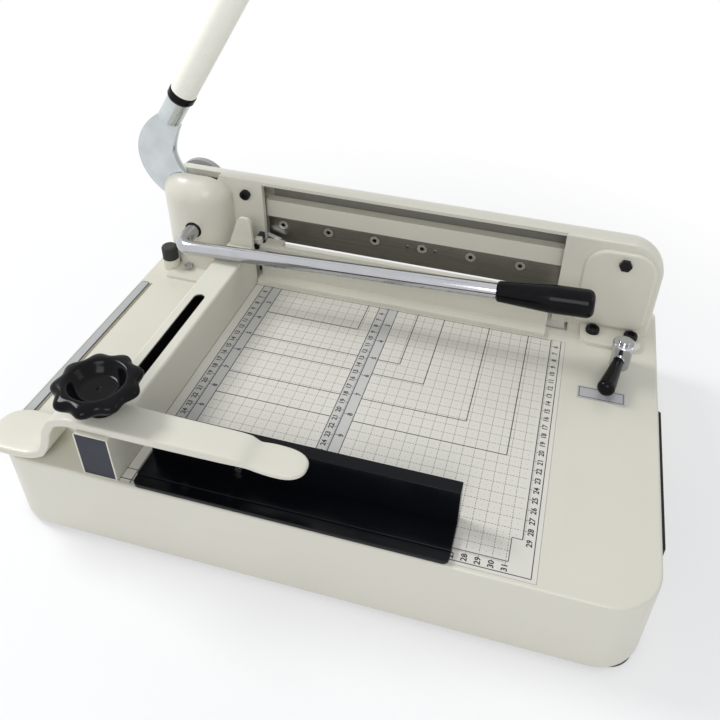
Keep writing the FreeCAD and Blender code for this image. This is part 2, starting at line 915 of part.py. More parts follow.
leaf_front = back(-S.leaf_plane - S.leaf_thickness / 2)
leaf_rear = back(-S.leaf_plane + S.leaf_thickness / 2)
slot_front = leaf_front - S.lever_slot_gap
slot_back = leaf_rear + S.lever_slot_gap
left_frame.cut("x", [[
    (cavity_front, TOP),
    (crank_room_rear, TOP),
    (crank_room_rear, cavity_top - crank_room_edge),
    (crank_room_rear - crank_room_edge, cavity_top),
    (cavity_front, cavity_top),
]], pivot_centre[0], along(0))
plate_room_top = up(S.end_plate_high + S.knife_up + S.side_gap * 2)
plate_room_left = along(-S.end_plate_left) - S.knife_down * S.knife_sideways - S.side_gap
left_frame.cut("z", [rectangle(
    plate_room_left, crank_room_rear - S.side_gap, along(0), cavity_rear,
)], TOP, plate_room_top)
left_frame.cut("y", [(*shaft_centre, S.clamp_rod_radius + S.side_gap)], block_front, cavity_front)
left_frame.cut("y", [(*shaft_centre, S.clamp_bush_radius + S.running_gap)],
               block_front, block_front - S.clamp_bush_proud + S.clamp_bush_length)
left_frame.cut("y", [(*pivot_centre, S.hub_neck + S.side_gap)], slot_back, crank_room_rear)
pivot_seat = slot_front - S.panel_wall
left_frame.cut("y", [(*pivot_centre, S.pivot_radius + S.running_gap)], pivot_seat, frame_rear)
left_frame.cut("z", [rectangle(
    block_left, slot_front, along(-S.lever_slot_right), slot_back,
)], up(S.lever_slot_low), frame_top)
left_frame.cut("y", [(*left_bolt, S.panel_bolt_shank + S.running_gap)], back(-S.panel_front), cavity_front)
left_frame.cut("y", [(*left_pin, S.guide_pin_radius)], cavity_rear, frame_rear)
cap_centre = (along(-S.cap_x), back(-S.cap_y))
cap_recess = (*cap_centre, S.cap_seat_radius + S.seat_gap)
left_frame.cut("z", [left_bolt_hole, cap_recess], TOP, up(S.left_foot_thick))
keep(left_frame)

# Right side frame: a large round shoulder, a raised pad and a foot with two bolts
right_left = past(0)
right_right = past(S.right_length)
right_frame = Piece("right_side_frame")
right_frame.pad("y", [[
    (right_left, TOP),
    (right_right, TOP),
    (right_right, frame_top, S.right_corner),
    (right_left, frame_top),
]], back(-S.panel_front), frame_rear)
right_frame.fillet(S.frame_round, (right_left + S.right_corner, frame_rear, frame_top))
right_frame.fillet(S.right_edge, (right_left + S.right_corner, back(-S.panel_front), frame_top))
pad_front = back(-S.panel_front - S.pad_proud)
right_frame.pad("y", [[
    (past(S.pad_left), up(S.pad_low)),
    (past(S.pad_right), up(S.pad_low), S.pad_corner / 2),
    (past(S.pad_right), up(S.pad_high), S.pad_corner),
    (past(S.pad_left), up(S.pad_high), S.pad_corner),
]], pad_front, back(-S.panel_front))
right_frame.fillet(S.pad_edge, (past(S.pad_left), pad_front, up(S.clamp_z)))
right_frame.pad("z", [[
    (past(S.right_foot_left), back(-S.right_foot_front), S.right_foot_corner),
    (past(S.right_foot_right), back(-S.right_foot_front), S.right_foot_corner),
    (past(S.right_foot_right), back(-S.panel_front)),
    (past(S.right_foot_left), back(-S.panel_front)),
]], TOP, up(S.right_foot_thick))
right_frame.cut("z", [rectangle(
    right_left, cavity_front, right_left + S.right_cavity, cavity_rear,
)], TOP, plate_room_top)
right_frame.cut("z", foot_bolt_holes, TOP, up(S.right_foot_thick))
right_frame.cut("y", [(*right_bolt, S.panel_bolt_shank + S.running_gap)], pad_front, cavity_front)
right_frame.cut("y", [(*right_pin, S.guide_pin_radius)], cavity_rear, frame_rear)
keep(right_frame)

# Top beam: a bent roof and rear wall between the two frames
beam = Piece("top_beam")
beam.pad("x", [[
    (back(-S.panel_front), frame_top),
    (frame_rear, frame_top, S.frame_round),
    (frame_rear, up(S.beam_skirt)),
    (cavity_rear, up(S.beam_skirt)),
    (cavity_rear, frame_top - S.beam_roof, S.frame_round - S.rear_wall),
    (back(-S.panel_front), frame_top - S.beam_roof),
]], along(0), right_left)
keep(beam)

# Bolts of the frames' feet
foot_bolts = []
bolt_y = back(-S.foot_bolt_y)
seat = up(S.right_foot_thick)
for number, x in enumerate([past(S.foot_bolt_near), past(S.foot_bolt_far)]):
    head = Piece(f"foot_bolt_head_{number}")
    head.pad("z", [(x, bolt_y, S.foot_bolt_radius)], seat, seat + S.foot_bolt_head)
    head.fillet(S.foot_bolt_head * 0.4, (x - S.foot_bolt_radius, bolt_y, seat + S.foot_bolt_head))
    socket = hexagon(f"foot_bolt_socket_{number}", "z", x, bolt_y, S.foot_bolt_radius,
                     seat + S.foot_bolt_head / 2, seat + S.foot_bolt_head * 2)
    shank = cylinder(f"foot_bolt_shank_{number}", "z", x, bolt_y, S.foot_bolt_shank, TOP - S.top_wall, seat)
    cap_head = less(f"foot_bolt_cap_{number}", head.body, socket)
    foot_bolts.append(fused(f"foot_bolt_{number}", [cap_head, shank]))
keep(group("right_foot_bolts", foot_bolts))
seat = up(S.left_foot_thick)
left_head = hexagon("left_bolt_head", "z", along(-S.left_bolt_x), back(-S.left_bolt_y),
                    S.left_bolt_radius * 2, seat, seat + S.left_bolt_head)
left_shank = cylinder("left_bolt_shank", "z", along(-S.left_bolt_x), back(-S.left_bolt_y),
                      S.left_bolt_shank, TOP - S.top_wall, seat)
keep(fused("left_foot_bolt", [left_head, left_shank]))

# Black bolts in the panels: a socket bolt at the left, a hexagon bolt at the right
panel_face = back(-S.panel_front)
left_cap = cylinder("panel_cap_left", "y", *left_bolt, S.panel_bolt_radius,
                    panel_face - S.panel_bolt_head, panel_face)
left_socket = hexagon("panel_socket_left", "y", *left_bolt, S.panel_bolt_radius,
                      panel_face - S.panel_bolt_head * 2, panel_face - S.panel_bolt_head / 2)
left_stem = cylinder("panel_stem_left", "y", *left_bolt, S.panel_bolt_shank, panel_face, cavity_front)
keep(fused("left_panel_bolt", [less("panel_socket_cap", left_cap, left_socket), left_stem]))
right_cap = hexagon("panel_cap_right", "y", *right_bolt, S.panel_bolt_radius * 2,
                    pad_front - S.panel_bolt_head, pad_front)
right_stem = cylinder("panel_stem_right", "y", *right_bolt, S.panel_bolt_shank, pad_front, cavity_front)
keep(fused("right_panel_bolt", [right_cap, right_stem]))

# Black cap on its round seat, in front of the left frame
seat_top = up(S.cap_seat_height)
keep(cylinder("cap_seat", "z", *cap_centre, S.cap_seat_radius, TOP, seat_top))
cap = Piece("stop_cap")
cap.pad("z", [(*cap_centre, S.cap_radius)], seat_top, seat_top + S.cap_height)
cap.fillet(S.cap_radius / 3, (cap_centre[0] - S.cap_radius, cap_centre[1], seat_top + S.cap_height))
keep(cap)

# Knife carriage: a bar with a lip over the knife, slanted guide slots in its ends and the crank's slot
slant = S.knife_sideways
carriage = Piece("knife_carriage")
carriage.pad("y", [[
    (along(-S.end_plate_left), up(S.end_plate_low)),
    (along(-S.knife_left), up(S.end_plate_low)),
    (along(-S.knife_left), up(S.carriage_low)),
    (past(S.knife_right), up(S.carriage_low)),
    (past(S.knife_right), up(S.end_plate_low)),
    (past(S.end_plate_right), up(S.end_plate_low)),
    (past(S.end_plate_right), up(S.end_plate_high)),
    (past(S.knife_right), up(S.end_plate_high)),
    (past(S.knife_right), up(S.lip_high)),
    (along(-S.knife_left), up(S.lip_high)),
    (along(-S.knife_left), up(S.end_plate_high)),
    (along(-S.end_plate_left), up(S.end_plate_high)),
]], back(S.knife_thickness), back(S.carriage_rear))
carriage.pad("y", [rectangle(
    along(-S.knife_left), up(S.lip_low), past(S.knife_right), up(S.lip_high),
)], back(-S.lip_front), back(S.knife_thickness))
carriage.chamfer(S.carriage_chamfer, (past(0) / 2 + along(0) / 2, back(S.carriage_rear), up(S.lip_high)))
crank_slot_z = up(S.pivot_z) + (S.knife_down - S.knife_up) / 2
crank_slot_half = S.crank_pin_radius + S.crank_slot_gap
crank_reach = S.pivot_x - S.crank_radius
crank_slot_right = along(-crank_reach) + S.side_gap
crank_slot_left = along(-crank_reach) - S.crank_radius * 0.256 - S.knife_down * slant - S.side_gap
crank_front = back(-S.crank_thickness / 2)
crank_rear = back(S.crank_thickness / 2)
tab_front = crank_rear + S.side_gap
tab_top = crank_slot_z + crank_slot_half + S.crank_slot_wall
carriage.pad("y", [rectangle(
    crank_slot_left - crank_slot_half - S.crank_slot_wall,
    crank_slot_z - crank_slot_half - S.crank_slot_wall * 1.7,
    along(-S.end_plate_left) + S.crank_slot_wall,
    tab_top,
)], tab_front, back(S.crank_tab_rear))
carriage.chamfer(S.crank_tab_chamfer, (crank_slot_left, back(S.crank_tab_rear), tab_top))
carriage.cut("y", [rectangle(
    crank_slot_left, crank_slot_z - crank_slot_half, crank_slot_right, crank_slot_z + crank_slot_half,
)], tab_front, back(S.crank_tab_rear))
for end in (crank_slot_left, crank_slot_right):
    carriage.cut("y", [(end, crank_slot_z, crank_slot_half)], tab_front, back(S.crank_tab_rear))
slant_length = math.hypot(1.0, float(slant))
guide_half = S.guide_pin_radius + S.seat_gap
for pin_x, pin_z in (left_pin, right_pin):
    low_x = pin_x + S.knife_up * slant
    low_z = pin_z - S.knife_up
    high_x = pin_x - S.knife_down * slant
    high_z = pin_z + S.knife_down
    across_x = guide_half / slant_length
    across_z = guide_half * slant / slant_length
    carriage.cut("y", [[
        (low_x - across_x, low_z - across_z),
        (low_x + across_x, low_z + across_z),
        (high_x + across_x, high_z + across_z),
        (high_x - across_x, high_z - across_z),
    ]], back(S.knife_thickness), back(S.carriage_rear))
    for end_x, end_z in ((low_x, low_z), (high_x, high_z)):
        carriage.cut("y", [(end_x, end_z, guide_half)], back(S.knife_thickness), back(S.carriage_rear))
screw_pitch = (S.opening_length - S.knife_screw_first - S.knife_screw_last) / (S.knife_screw_count - 1)
screw_spots = [
    (along(S.knife_screw_first + screw_pitch * i), up(S.knife_screw_z))
    for i in range(int(SIZES["knife_screw_count"]))
]
carriage.cut("y", [(x, z, S.knife_screw_shank + S.running_gap) for x, z in screw_spots],
             back(S.knife_thickness), back(S.knife_screw_sink + S.knife_screw_length))
keep(carriage)

# Knife: flat towards the clamp, ground on its rear face
knife = Piece("knife")
knife.pad("x", [[
    (back(0), up(S.knife_edge)),
    (back(0), up(S.knife_top)),
    (back(S.knife_thickness), up(S.knife_top)),
    (back(S.knife_thickness), up(S.knife_edge + S.knife_bevel)),
    (back(S.knife_land), up(S.knife_edge)),
]], along(-S.knife_left), past(S.knife_right))
knife.cut("y", [(x, z, S.knife_screw_head + S.side_gap) for x, z in screw_spots],
          back(0), back(S.knife_screw_sink))
knife.cut("y", [(x, z, S.knife_screw_shank + S.seat_gap) for x, z in screw_spots],
          back(S.knife_screw_sink), back(S.knife_thickness))
knife.cut("y", [
    (along(S.knife_hole_near), up(S.knife_screw_z), S.knife_hole_radius),
    (along(S.knife_hole_far), up(S.knife_screw_z), S.knife_hole_radius),
], back(0), back(S.knife_thickness))
keep(knife)

# Socket screws that hold the knife to the carriage
screws = []
for number, (x, z) in enumerate(screw_spots):
    head = cylinder(f"knife_screw_head_{number}", "y", x, z, S.knife_screw_head,
                    back(S.seat_gap), back(S.knife_screw_sink))
    socket = hexagon(f"knife_screw_socket_{number}", "y", x, z, S.knife_screw_head * 0.8,
                     back(-S.knife_screw_sink), back(S.knife_screw_sink * 0.7))
    shank = cylinder(f"knife_screw_shank_{number}", "y", x, z, S.knife_screw_shank,
                     back(S.knife_screw_sink), back(S.knife_screw_sink + S.knife_screw_length))
    screws.append(fused(f"knife_screw_{number}", [less(f"knife_screw_cap_{number}", head, socket), shank]))
keep(group("knife_screws", screws))

# Pins that guide the carriage, pressed into the rear walls
guide_pins = [
    cylinder(f"guide_pin_{number}", "y", x, z, S.guide_pin_radius, back(S.knife_thickness), frame_rear)
    for number, (x, z) in enumerate((left_pin, right_pin))
]
keep(group("carriage_guide_pins", guide_pins))

# Pivot shaft of the main lever, with the grey disc and nut behind the frame
keep(cylinder("pivot_shaft", "y", *pivot_centre, S.pivot_radius, pivot_seat, frame_rear + S.disc_thickness))
disc = Piece("pivot_disc")
disc.pad("y", [(*pivot_centre, S.disc_radius)], frame_rear, frame_rear + S.disc_thickness)
disc.fillet(S.disc_thickness / 3, (
    pivot_centre[0] - S.disc_radius, frame_rear + S.disc_thickness, pivot_centre[1],
))
disc.cut("y", [(*pivot_centre, S.pivot_radius + S.running_gap)], frame_rear, frame_rear + S.disc_thickness)
keep(disc)
keep(hexagon("pivot_nut", "y", *pivot_centre, S.nut_across,
             frame_rear + S.disc_thickness, frame_rear + S.disc_thickness + S.nut_thickness))

# Main lever: a flat curved leaf with a round neck and a long hub, forged in one
lever_turn = Rotation(Vector(0, 1, 0), -float(S.lever_angle))
lever_direction = lever_turn.multVec(Vector(1, 0, 0))
lever_across = lever_turn.multVec(Vector(0, 0, 1))
collar = lever_direction * float(S.lever_collar) + lever_across * float(S.lever_offset)
collar_x = pivot_centre[0] + collar.x
collar_z = pivot_centre[1] + collar.z


def leaf_spot(x, z):
    """A spot of the leaf's outline, in shares of its reach from the pivot."""
    reach = float(S.leaf_reach)
    return Vector(float(pivot_centre[0]) + x * reach, float(pivot_centre[1]) + z * reach, 0)


def neck_spot(before, side):
    """A spot inside the neck, so far before the collar and to one side."""
    spot = collar - lever_direction * float(before) + lever_across * float(side)
    return Vector(float(pivot_centre[0]) + spot.x, float(pivot_centre[1]) + spot.z, 0)


neck_half = S.neck_radius * 0.84
neck_start = S.neck_length - S.neck_blend
neck_end = neck_start - S.neck_root
LEAF_OUTLINE = [
    (-0.436, 2.021),
    (-0.631, 1.863),
    (-0.781, 1.688),
    (-0.997, 1.116),
    (-0.930, 0.654),
    (-0.625, 0.211),
    (0.006, -0.087),
    (0.130, 0.581),
    (-0.097, 0.869),
    (-0.158, 1.168),
    (-0.082, 1.466),
    (0.047, 1.774),
]
leaf_spots = [leaf_spot(x, z) for x, z in LEAF_OUTLINE]
neck_spots = [
    neck_spot(neck_start, -neck_half),
    neck_spot(neck_end, -neck_half),
    neck_spot(neck_end, neck_half),
    neck_spot(neck_start, neck_half),
    leaf_spots[0],
]
leaf = Piece("lever_leaf")
leaf_sketch = leaf.sketch("y", leaf_rear)
leaf_sketch.addGeometry([
    Part.Arc(leaf_spots[0], leaf_spots[1], leaf_spots[2]),
    Part.Arc(leaf_spots[2], leaf_spots[3], leaf_spots[4]),
    Part.Arc(leaf_spots[4], leaf_spots[5], leaf_spots[6]),
    Part.LineSegment(leaf_spots[6], leaf_spots[7]),
    Part.Arc(leaf_spots[7], leaf_spots[8], leaf_spots[9]),
    Part.Arc(leaf_spots[9], leaf_spots[10], leaf_spots[11]),
])
corner = leaf_spots[11]
for spot in neck_spots:
    leaf_sketch.addGeometry(Part.LineSegment(corner, spot))
    corner = spot
leaf_pad = leaf.body.newObject("PartDesign::Pad", "lever_leaf_pad")
leaf_pad.Profile = leaf_sketch
bind(leaf_pad, "Length", S.leaf_thickness)
doc.recompute()
leaf.pad("y", [(*pivot_centre, S.hub_radius)], leaf_front, leaf_rear)
leaf.pad("y", [(*pivot_centre, S.hub_neck)], leaf_front, crank_front)
leaf.cut("y", [(*pivot_centre, S.pivot_radius + S.running_gap)], leaf_front, crank_front)


def on_lever(piece):
    """Puts a piece that was turned about its own x axis on the lever's line."""
    place(piece.body, collar_x, back(-S.leaf_plane), collar_z, lever_turn)
    return piece


neck = Piece("lever_neck")
neck.turn([
    (-S.neck_length, dim(0)),
    (-S.neck_length, S.leaf_thickness / 2),
    (-S.neck_length + S.neck_blend, S.neck_radius),
    (dim(0), S.neck_radius),
    (dim(0), S.tube_radius - S.tube_wall - S.running_gap),
    (S.spigot_length, S.tube_radius - S.tube_wall - S.running_gap),
    (S.spigot_length, dim(0)),
])
on_lever(neck)
keep(fused("lever_forging", [leaf.body, neck.body]))

# Crank of the main lever, welded to the rear end of the hub, and its pin
crank_angle = math.radians(float(S.crank_rest_angle))
crank_pin_x = pivot_centre[0] + S.crank_radius * math.cos(crank_angle)
crank_pin_z = pivot_centre[1] + S.crank_radius * math.sin(crank_angle)
eye_x = S.crank_eye * math.sin(crank_angle)
eye_z = S.crank_eye * math.cos(crank_angle)
lever_crank = Piece("lever_crank")
lever_crank.pad("y", [(*pivot_centre, S.hub_neck)], crank_front, crank_rear)
lever_crank.pad("y", [[
    (pivot_centre[0] + eye_x, pivot_centre[1] - eye_z),
    (crank_pin_x + eye_x, crank_pin_z - eye_z),
    (crank_pin_x - eye_x, crank_pin_z + eye_z),
    (pivot_centre[0] - eye_x, pivot_centre[1] + eye_z),
]], crank_front, crank_rear)
lever_crank.pad("y", [(crank_pin_x, crank_pin_z, S.crank_eye)], crank_front, crank_rear)
lever_crank.cut("y", [(*pivot_centre, S.pivot_radius + S.running_gap)], crank_front, crank_rear)
lever_crank.cut("y", [(crank_pin_x, crank_pin_z, S.crank_pin_radius)], crank_front, crank_rear)
keep(lever_crank)
keep(cylinder("crank_pin", "y", crank_pin_x, crank_pin_z, S.crank_pin_radius,
              crank_front, back(S.crank_tab_rear + S.side_gap / 2)))

ring = Piece("lever_ring")
spigot_fit = S.tube_radius - S.tube_wall
ring.turn([
    (dim(0), spigot_fit),
    (dim(0), S.ring_radius - S.ring_length * 0.1),
    (S.ring_length * 0.2, S.ring_radius),
    (S.ring_length * 0.8, S.ring_radius),
    (S.ring_length, S.ring_radius - S.ring_length * 0.1),
    (S.ring_length, spigot_fit),
])
keep(on_lever(ring))

tube = Piece("lever_tube")
tube.turn([
    (S.ring_length, spigot_fit),
    (S.ring_length, S.tube_radius),
    (S.ring_length + S.tube_length, S.tube_radius),
    (S.ring_length + S.tube_length, spigot_fit),
])
keep(on_lever(tube))

lever_end = S.ring_length + S.tube_length
grip_start = lever_end - S.lever_grip_length + S.ring_length
grip_bore = S.tube_radius + S.running_gap
grip = Piece("lever_grip")
grip.turn([
    (grip_start, grip_bore),
    (grip_start, S.lever_grip_radius - S.lever_grip_edge),
    (grip_start + S.lever_grip_edge * 3, S.lever_grip_radius),
    (lever_end, S.lever_grip_radius),
    (lever_end + S.ring_length * 0.6, S.lever_grip_radius * 0.85),
    (lever_end + S.ring_length, S.lever_grip_radius * 0.5),
    (lever_end + S.ring_length, dim(0)),
    (lever_end + S.seat_gap, dim(0)),
    (lever_end + S.seat_gap, grip_bore),
])
keep(on_lever(grip))

# Clamp lever: a bar bent at a right angle, whose short end is the clamp's shaft
clamp_turn = Rotation(Vector(0, 1, 0), -float(S.clamp_rest_rise))
shaft_x, shaft_z = shaft_centre
bar_y = back(-S.clamp_rod_y)
bend = float(S.clamp_bend)
shaft_start = Vector(0, float(back(-S.clamp_crank_rear) - bar_y), 0)
bend_in = Vector(0, bend, 0)
bend_mid = Vector(bend * (1 - math.sqrt(0.5)), bend * (1 - math.sqrt(0.5)), 0)
bend_out = Vector(bend, 0, 0)
grip_end = S.opening_length + S.clamp_grip_end + S.clamp_x
bar_length = grip_end - S.clamp_grip_thick
bar_end = Vector(float(bar_length), 0, 0)
bar_path = Part.Wire([
    Part.LineSegment(shaft_start, bend_in).toShape(),
    Part.Arc(bend_in, bend_mid, bend_out).toShape(),
    Part.LineSegment(bend_out, bar_end).toShape(),
])
bar_section = Part.Wire(Part.Circle(shaft_start, Vector(0, 1, 0), float(S.clamp_rod_radius)).toShape())
clamp_rod = doc.addObject("Part::Feature", "clamp_rod")
clamp_rod.Label = "clamp_rod"
clamp_rod.Shape = bar_path.makePipeShell([bar_section], True, False)
place(clamp_rod, shaft_x, bar_y, shaft_z, clamp_turn)
keep(clamp_rod)

clamp_grip = Piece("clamp_grip")
grip_thin_start = S.opening_length - S.clamp_grip_start + S.clamp_x
rod_bore = S.clamp_rod_radius + S.running_gap
clamp_grip.turn([
    (grip_thin_start, rod_bore),
    (grip_thin_start, S.clamp_grip_thin - S.clamp_grip_round / 4),
    (grip_thin_start + S.clamp_grip_round / 4, S.clamp_grip_thin),
    (grip_thin_start * 0.45 + grip_end * 0.55, S.clamp_grip_thick),
    (grip_end, S.clamp_grip_thick, S.clamp_grip_round),
    (grip_end, dim(0)),
    (bar_length + S.seat_gap, dim(0)),
    (bar_length + S.seat_gap, rod_bore),
])
place(clamp_grip.body, shaft_x, bar_y, shaft_z, clamp_turn)
keep(clamp_grip)

# Bush in the frame for the clamp's shaft
clamp_bush = Piece("clamp_shaft_bush")
bush_front = block_front - S.clamp_bush_proud
clamp_bush.pad("y", [(*shaft_centre, S.clamp_bush_radius)], bush_front, bush_front + S.clamp_bush_length)
clamp_bush.cut("y", [(*shaft_centre, S.clamp_rod_radius + S.running_gap)],
               bush_front, bush_front + S.clamp_bush_length)
keep(clamp_bush)

# Crank of the clamp, behind the left panel, and its pin
pin_x = along(S.clamp_pin_x)
pin_z = up(S.clamp_pin_z)
arm_x = float(pin_x) - float(shaft_x)
arm_z = float(pin_z) - float(shaft_z)
arm_length = math.hypot(arm_x, arm_z)
side_x = -arm_z / arm_length
side_z = arm_x / arm_length
arm_front_y = back(-S.clamp_crank_front)
arm_rear_y = back(-S.clamp_crank_rear)
clamp_crank = Piece("clamp_crank")
clamp_crank.pad("y", [(*shaft_centre, S.clamp_crank_hub)], arm_front_y, arm_rear_y)
clamp_crank.pad("y", [[
    (shaft_x - S.clamp_crank_hub * side_x * 0.8, shaft_z - S.clamp_crank_hub * side_z * 0.8),
    (pin_x - S.clamp_crank_eye * side_x, pin_z - S.clamp_crank_eye * side_z),
    (pin_x + S.clamp_crank_eye * side_x, pin_z + S.clamp_crank_eye * side_z),
    (shaft_x + S.clamp_crank_hub * side_x * 0.8, shaft_z + S.clamp_crank_hub * side_z * 0.8),
]], arm_front_y, arm_rear_y)
clamp_crank.pad("y", [(pin_x, pin_z, S.clamp_crank_eye)], arm_front_y, arm_rear_y)
clamp_crank.cut("y", [(*shaft_centre, S.clamp_rod_radius + S.running_gap)], arm_front_y, arm_rear_y)
clamp_crank.cut("y", [(pin_x, pin_z, S.clamp_pin_radius)], arm_front_y, arm_rear_y)
keep(clamp_crank)
keep(cylinder("clamp_crank_pin", "y", pin_x, pin_z, S.clamp_pin_radius, back(-S.clamp_pin_front), arm_rear_y))

# Clamp plate: a sole and an upright web, a lug for the crank's pin and a tongue for the guide shoe
sole_low = TOP + S.seat_gap
sole_high = sole_low + S.sole_thickness
web_front = back(-S.web_front)
web_rear = web_front + S.web_thickness
clamp = Piece("clamp_plate")
clamp.pad("x", [[
    (back(-S.clamp_front), sole_low),
    (back(-S.clamp_front), sole_high),
    (web_front, sole_high),
    (web_front, up(S.web_top)),
    (web_rear, up(S.web_top)),
    (web_rear, sole_high),
    (back(-S.clamp_rear), sole_high),
    (back(-S.clamp_rear), sole_low),
]], along(S.clamp_left), past(-S.clamp_right))
clamp.pad("y", [rectangle(
    along(S.clamp_left), pin_z - S.lug_half_height, along(S.lug_right), pin_z + S.lug_half_height,
)], web_rear, back(-S.lug_rear))
pin_slot = S.clamp_pin_radius + S.side_gap
lug_slot_left = pin_x - S.side_gap
lug_slot_right = shaft_x + arm_length + S.side_gap
clamp.cut("y", [rectangle(
    lug_slot_left, pin_z - pin_slot, lug_slot_right, pin_z + pin_slot,
)], web_rear, back(-S.lug_rear))
for end in (lug_slot_left, lug_slot_right):
    clamp.cut("y", [(end, pin_z, pin_slot)], web_rear, back(-S.lug_rear))
clamp.pad("y", [rectangle(
    along(-S.tongue_left), up(S.tongue_low), along(S.clamp_left), up(S.tongue_high),
)], web_front, web_rear)
shoe_x = along(S.clamp_left - S.tongue_left) / 2 + along(0) / 2
shoe_z = up(S.shoe_screw_z)
clamp.cut("y", [(shoe_x, shoe_z, S.shoe_screw_shank + S.running_gap)], web_front, web_rear)
keep(clamp)

shoe = Piece("clamp_guide_shoe")
shoe.pad("y", [rectangle(
    along(-S.tongue_left), up(S.shoe_low), along(0) - S.seat_gap, up(S.tongue_high),
)], web_rear, panel_face - S.seat_gap)
shoe.cut("y", [(shoe_x, shoe_z, S.shoe_screw_shank + S.running_gap)], web_rear, panel_face - S.side_gap * 4)
keep(shoe)
shoe_head = cylinder("shoe_screw_head", "y", shoe_x, shoe_z, S.shoe_screw_radius,
                     web_front - S.shoe_screw_head, web_front)
shoe_stem = cylinder("shoe_screw_stem", "y", shoe_x, shoe_z, S.shoe_screw_shank,
                     web_front, panel_face - S.side_gap * 4)
keep(fused("shoe_screw", [shoe_head, shoe_stem]))

# Guide posts under the clamp's sole and their bushes in the base
posts = [
    cylinder(f"post_{number}", "z", x, y, S.post_radius, sole_low - S.post_length, sole_low)
    for number, (x, y) in enumerate(post_spots)
]
keep(group("clamp_posts", posts))
bushes = []
for number, (x, y) in enumerate(post_spots):
    outer = cylinder(f"bush_outer_{number}", "z", x, y, bush_radius, TOP - S.bush_length, TOP)
    bore = cylinder(f"bush_bore_{number}", "z", x, y, S.post_radius + S.running_gap,
                    TOP - S.bush_length * 2, TOP * 2)
    bushes.append(less(f"post_bush_{number}", outer, bore))
keep(group("post_bushes", bushes))

# Fence bar: a black angle with a stepped foot and a block that the arm is screwed to
arm_low = up(S.rail_height) + S.seat_gap
fence_rear = back(-KNOB_Y + S.fence_behind)
fence_face = fence_rear - S.fence_wall
fence = Piece("fence_bar")
fence.pad("x", [[
    (fence_rear, up(S.fence_lift)),
    (fence_rear, up(S.fence_height)),
    (fence_face, up(S.fence_height)),
    (fence_face, up(S.fence_step_z)),
    (back(-KNOB_Y - S.fence_step_before), up(S.fence_step_z)),
    (back(-KNOB_Y - S.fence_step_before), up(S.fence_foot)),
    (back(-KNOB_Y - S.fence_before), up(S.fence_foot)),
    (back(-KNOB_Y - S.fence_before), up(S.fence_lift)),
]], along(S.fence_left), past(-S.fence_right))
fence.pad("z", [rectangle(
    along(S.fence_block_left),
    fence_face - S.fence_block_depth,
    along(S.fence_block_right),
    fence_face,
)], up(S.fence_block_low), arm_low)
fence.fillet(S.fence_corner, (past(-S.fence_right), fence_rear - S.fence_wall / 2, up(S.fence_height)))
block_y = fence_face - S.fence_block_depth / 2
fence_screw_spots = [
    (along(S.fence_block_left) + S.fence_screw_inset, block_y),
    (along(S.fence_block_right) - S.fence_screw_inset, block_y),
]
fence.cut("y", [(along(S.face_screw_x), up(S.face_screw_z), S.face_screw_shank + S.running_gap)],
          fence_face, fence_face + S.fence_wall / 2)
fence.cut("z", [(x, y, S.fence_screw_radius + S.running_gap) for x, y in fence_screw_spots],
          up(S.fence_block_low), arm_low)
keep(fence)

# Gauge arm: a casting over the rail, with a paw on the left margin and a finger on the right
arm_high = arm_low + S.arm_thickness
arm_front = back(-KNOB_Y - S.arm_before)
arm_rear = back(-KNOB_Y + S.arm_behind)
finger_high = arm_high - S.arm_drop
finger_low = finger_high - S.finger_thickness
bend_x = along(S.arm_bend)
rail_side = along(-S.rail_width)
paw_low = TOP + S.strip_thickness + S.seat_gap
paw_right = along(-S.paw_right)
paw_top = up(S.paw_height)
shoulder_foot = rail_side - S.shoulder_foot
paw_left = along(-S.paw_left)
paw_front = back(-KNOB_Y - S.paw_before)
paw_rear = back(-KNOB_Y + S.paw_behind)
arm = Piece("gauge_arm")
arm.pad("z", [[
    (paw_left, paw_front, S.paw_corner),
    (shoulder_foot, paw_front, S.paw_corner / 2),
    (shoulder_foot, paw_rear, S.paw_corner / 2),
    (paw_left, paw_rear, S.paw_corner),
]], paw_low, paw_top)
arm.fillet(S.paw_height / 3, (paw_left, (paw_front + paw_rear) / 2, paw_top))
arm.pad("y", [[
    (bend_x, arm_high, S.arm_bend_round),
    (bend_x + S.arm_drop * 2, finger_high, S.arm_bend_round),
    (bend_x + S.arm_drop * 4, finger_high),
    (bend_x + S.arm_drop * 4, finger_low),
    (bend_x + S.arm_drop * 1.7, finger_low, S.arm_bend_round * 0.8),
    (bend_x - S.arm_drop * 0.3, arm_low, S.arm_bend_round * 0.8),
    (rail_side - S.arch_start, arm_low, S.arch_round),
    (rail_side - S.arch_side, up(S.arch_side_z), S.arch_round),
    (rail_side - S.arch_knee, up(S.arch_knee_z), S.arch_round),
    (paw_right, TOP + S.seat_gap),
    (shoulder_foot - S.arch_round, TOP + S.seat_gap),
    (shoulder_foot - S.arch_round, paw_top - S.arch_round / 2),
    (shoulder_foot, paw_top + S.strip_thickness, S.arch_round),
    (rail_side - S.shoulder_side, arm_high, S.shoulder_round),
]], arm_front, arm_rear)
finger_y = (arm_front + arm_rear) / 2
finger_half = S.finger_width / 2
finger_start = bend_x + S.arm_drop * 2
arm.pad("z", [[
    (finger_start, finger_y - finger_half, finger_half * 0.3),
    (along(S.finger_end), finger_y - finger_half, finger_half * 0.98),
    (along(S.finger_end), finger_y + finger_half, finger_half * 0.98),
    (finger_start, finger_y + finger_half, finger_half * 0.3),
]], finger_low, finger_high)
stud_x = slot_x
stud_y = back(-KNOB_Y)
arm.cut("z", [(stud_x, stud_y, S.stud_radius + S.seat_gap)], arm_low, arm_high)
arm.cut("z", [(x, y, S.fence_screw_radius + S.running_gap) for x, y in fence_screw_spots],
        arm_low, arm_low + S.arm_thickness * 0.7)
keep(arm)

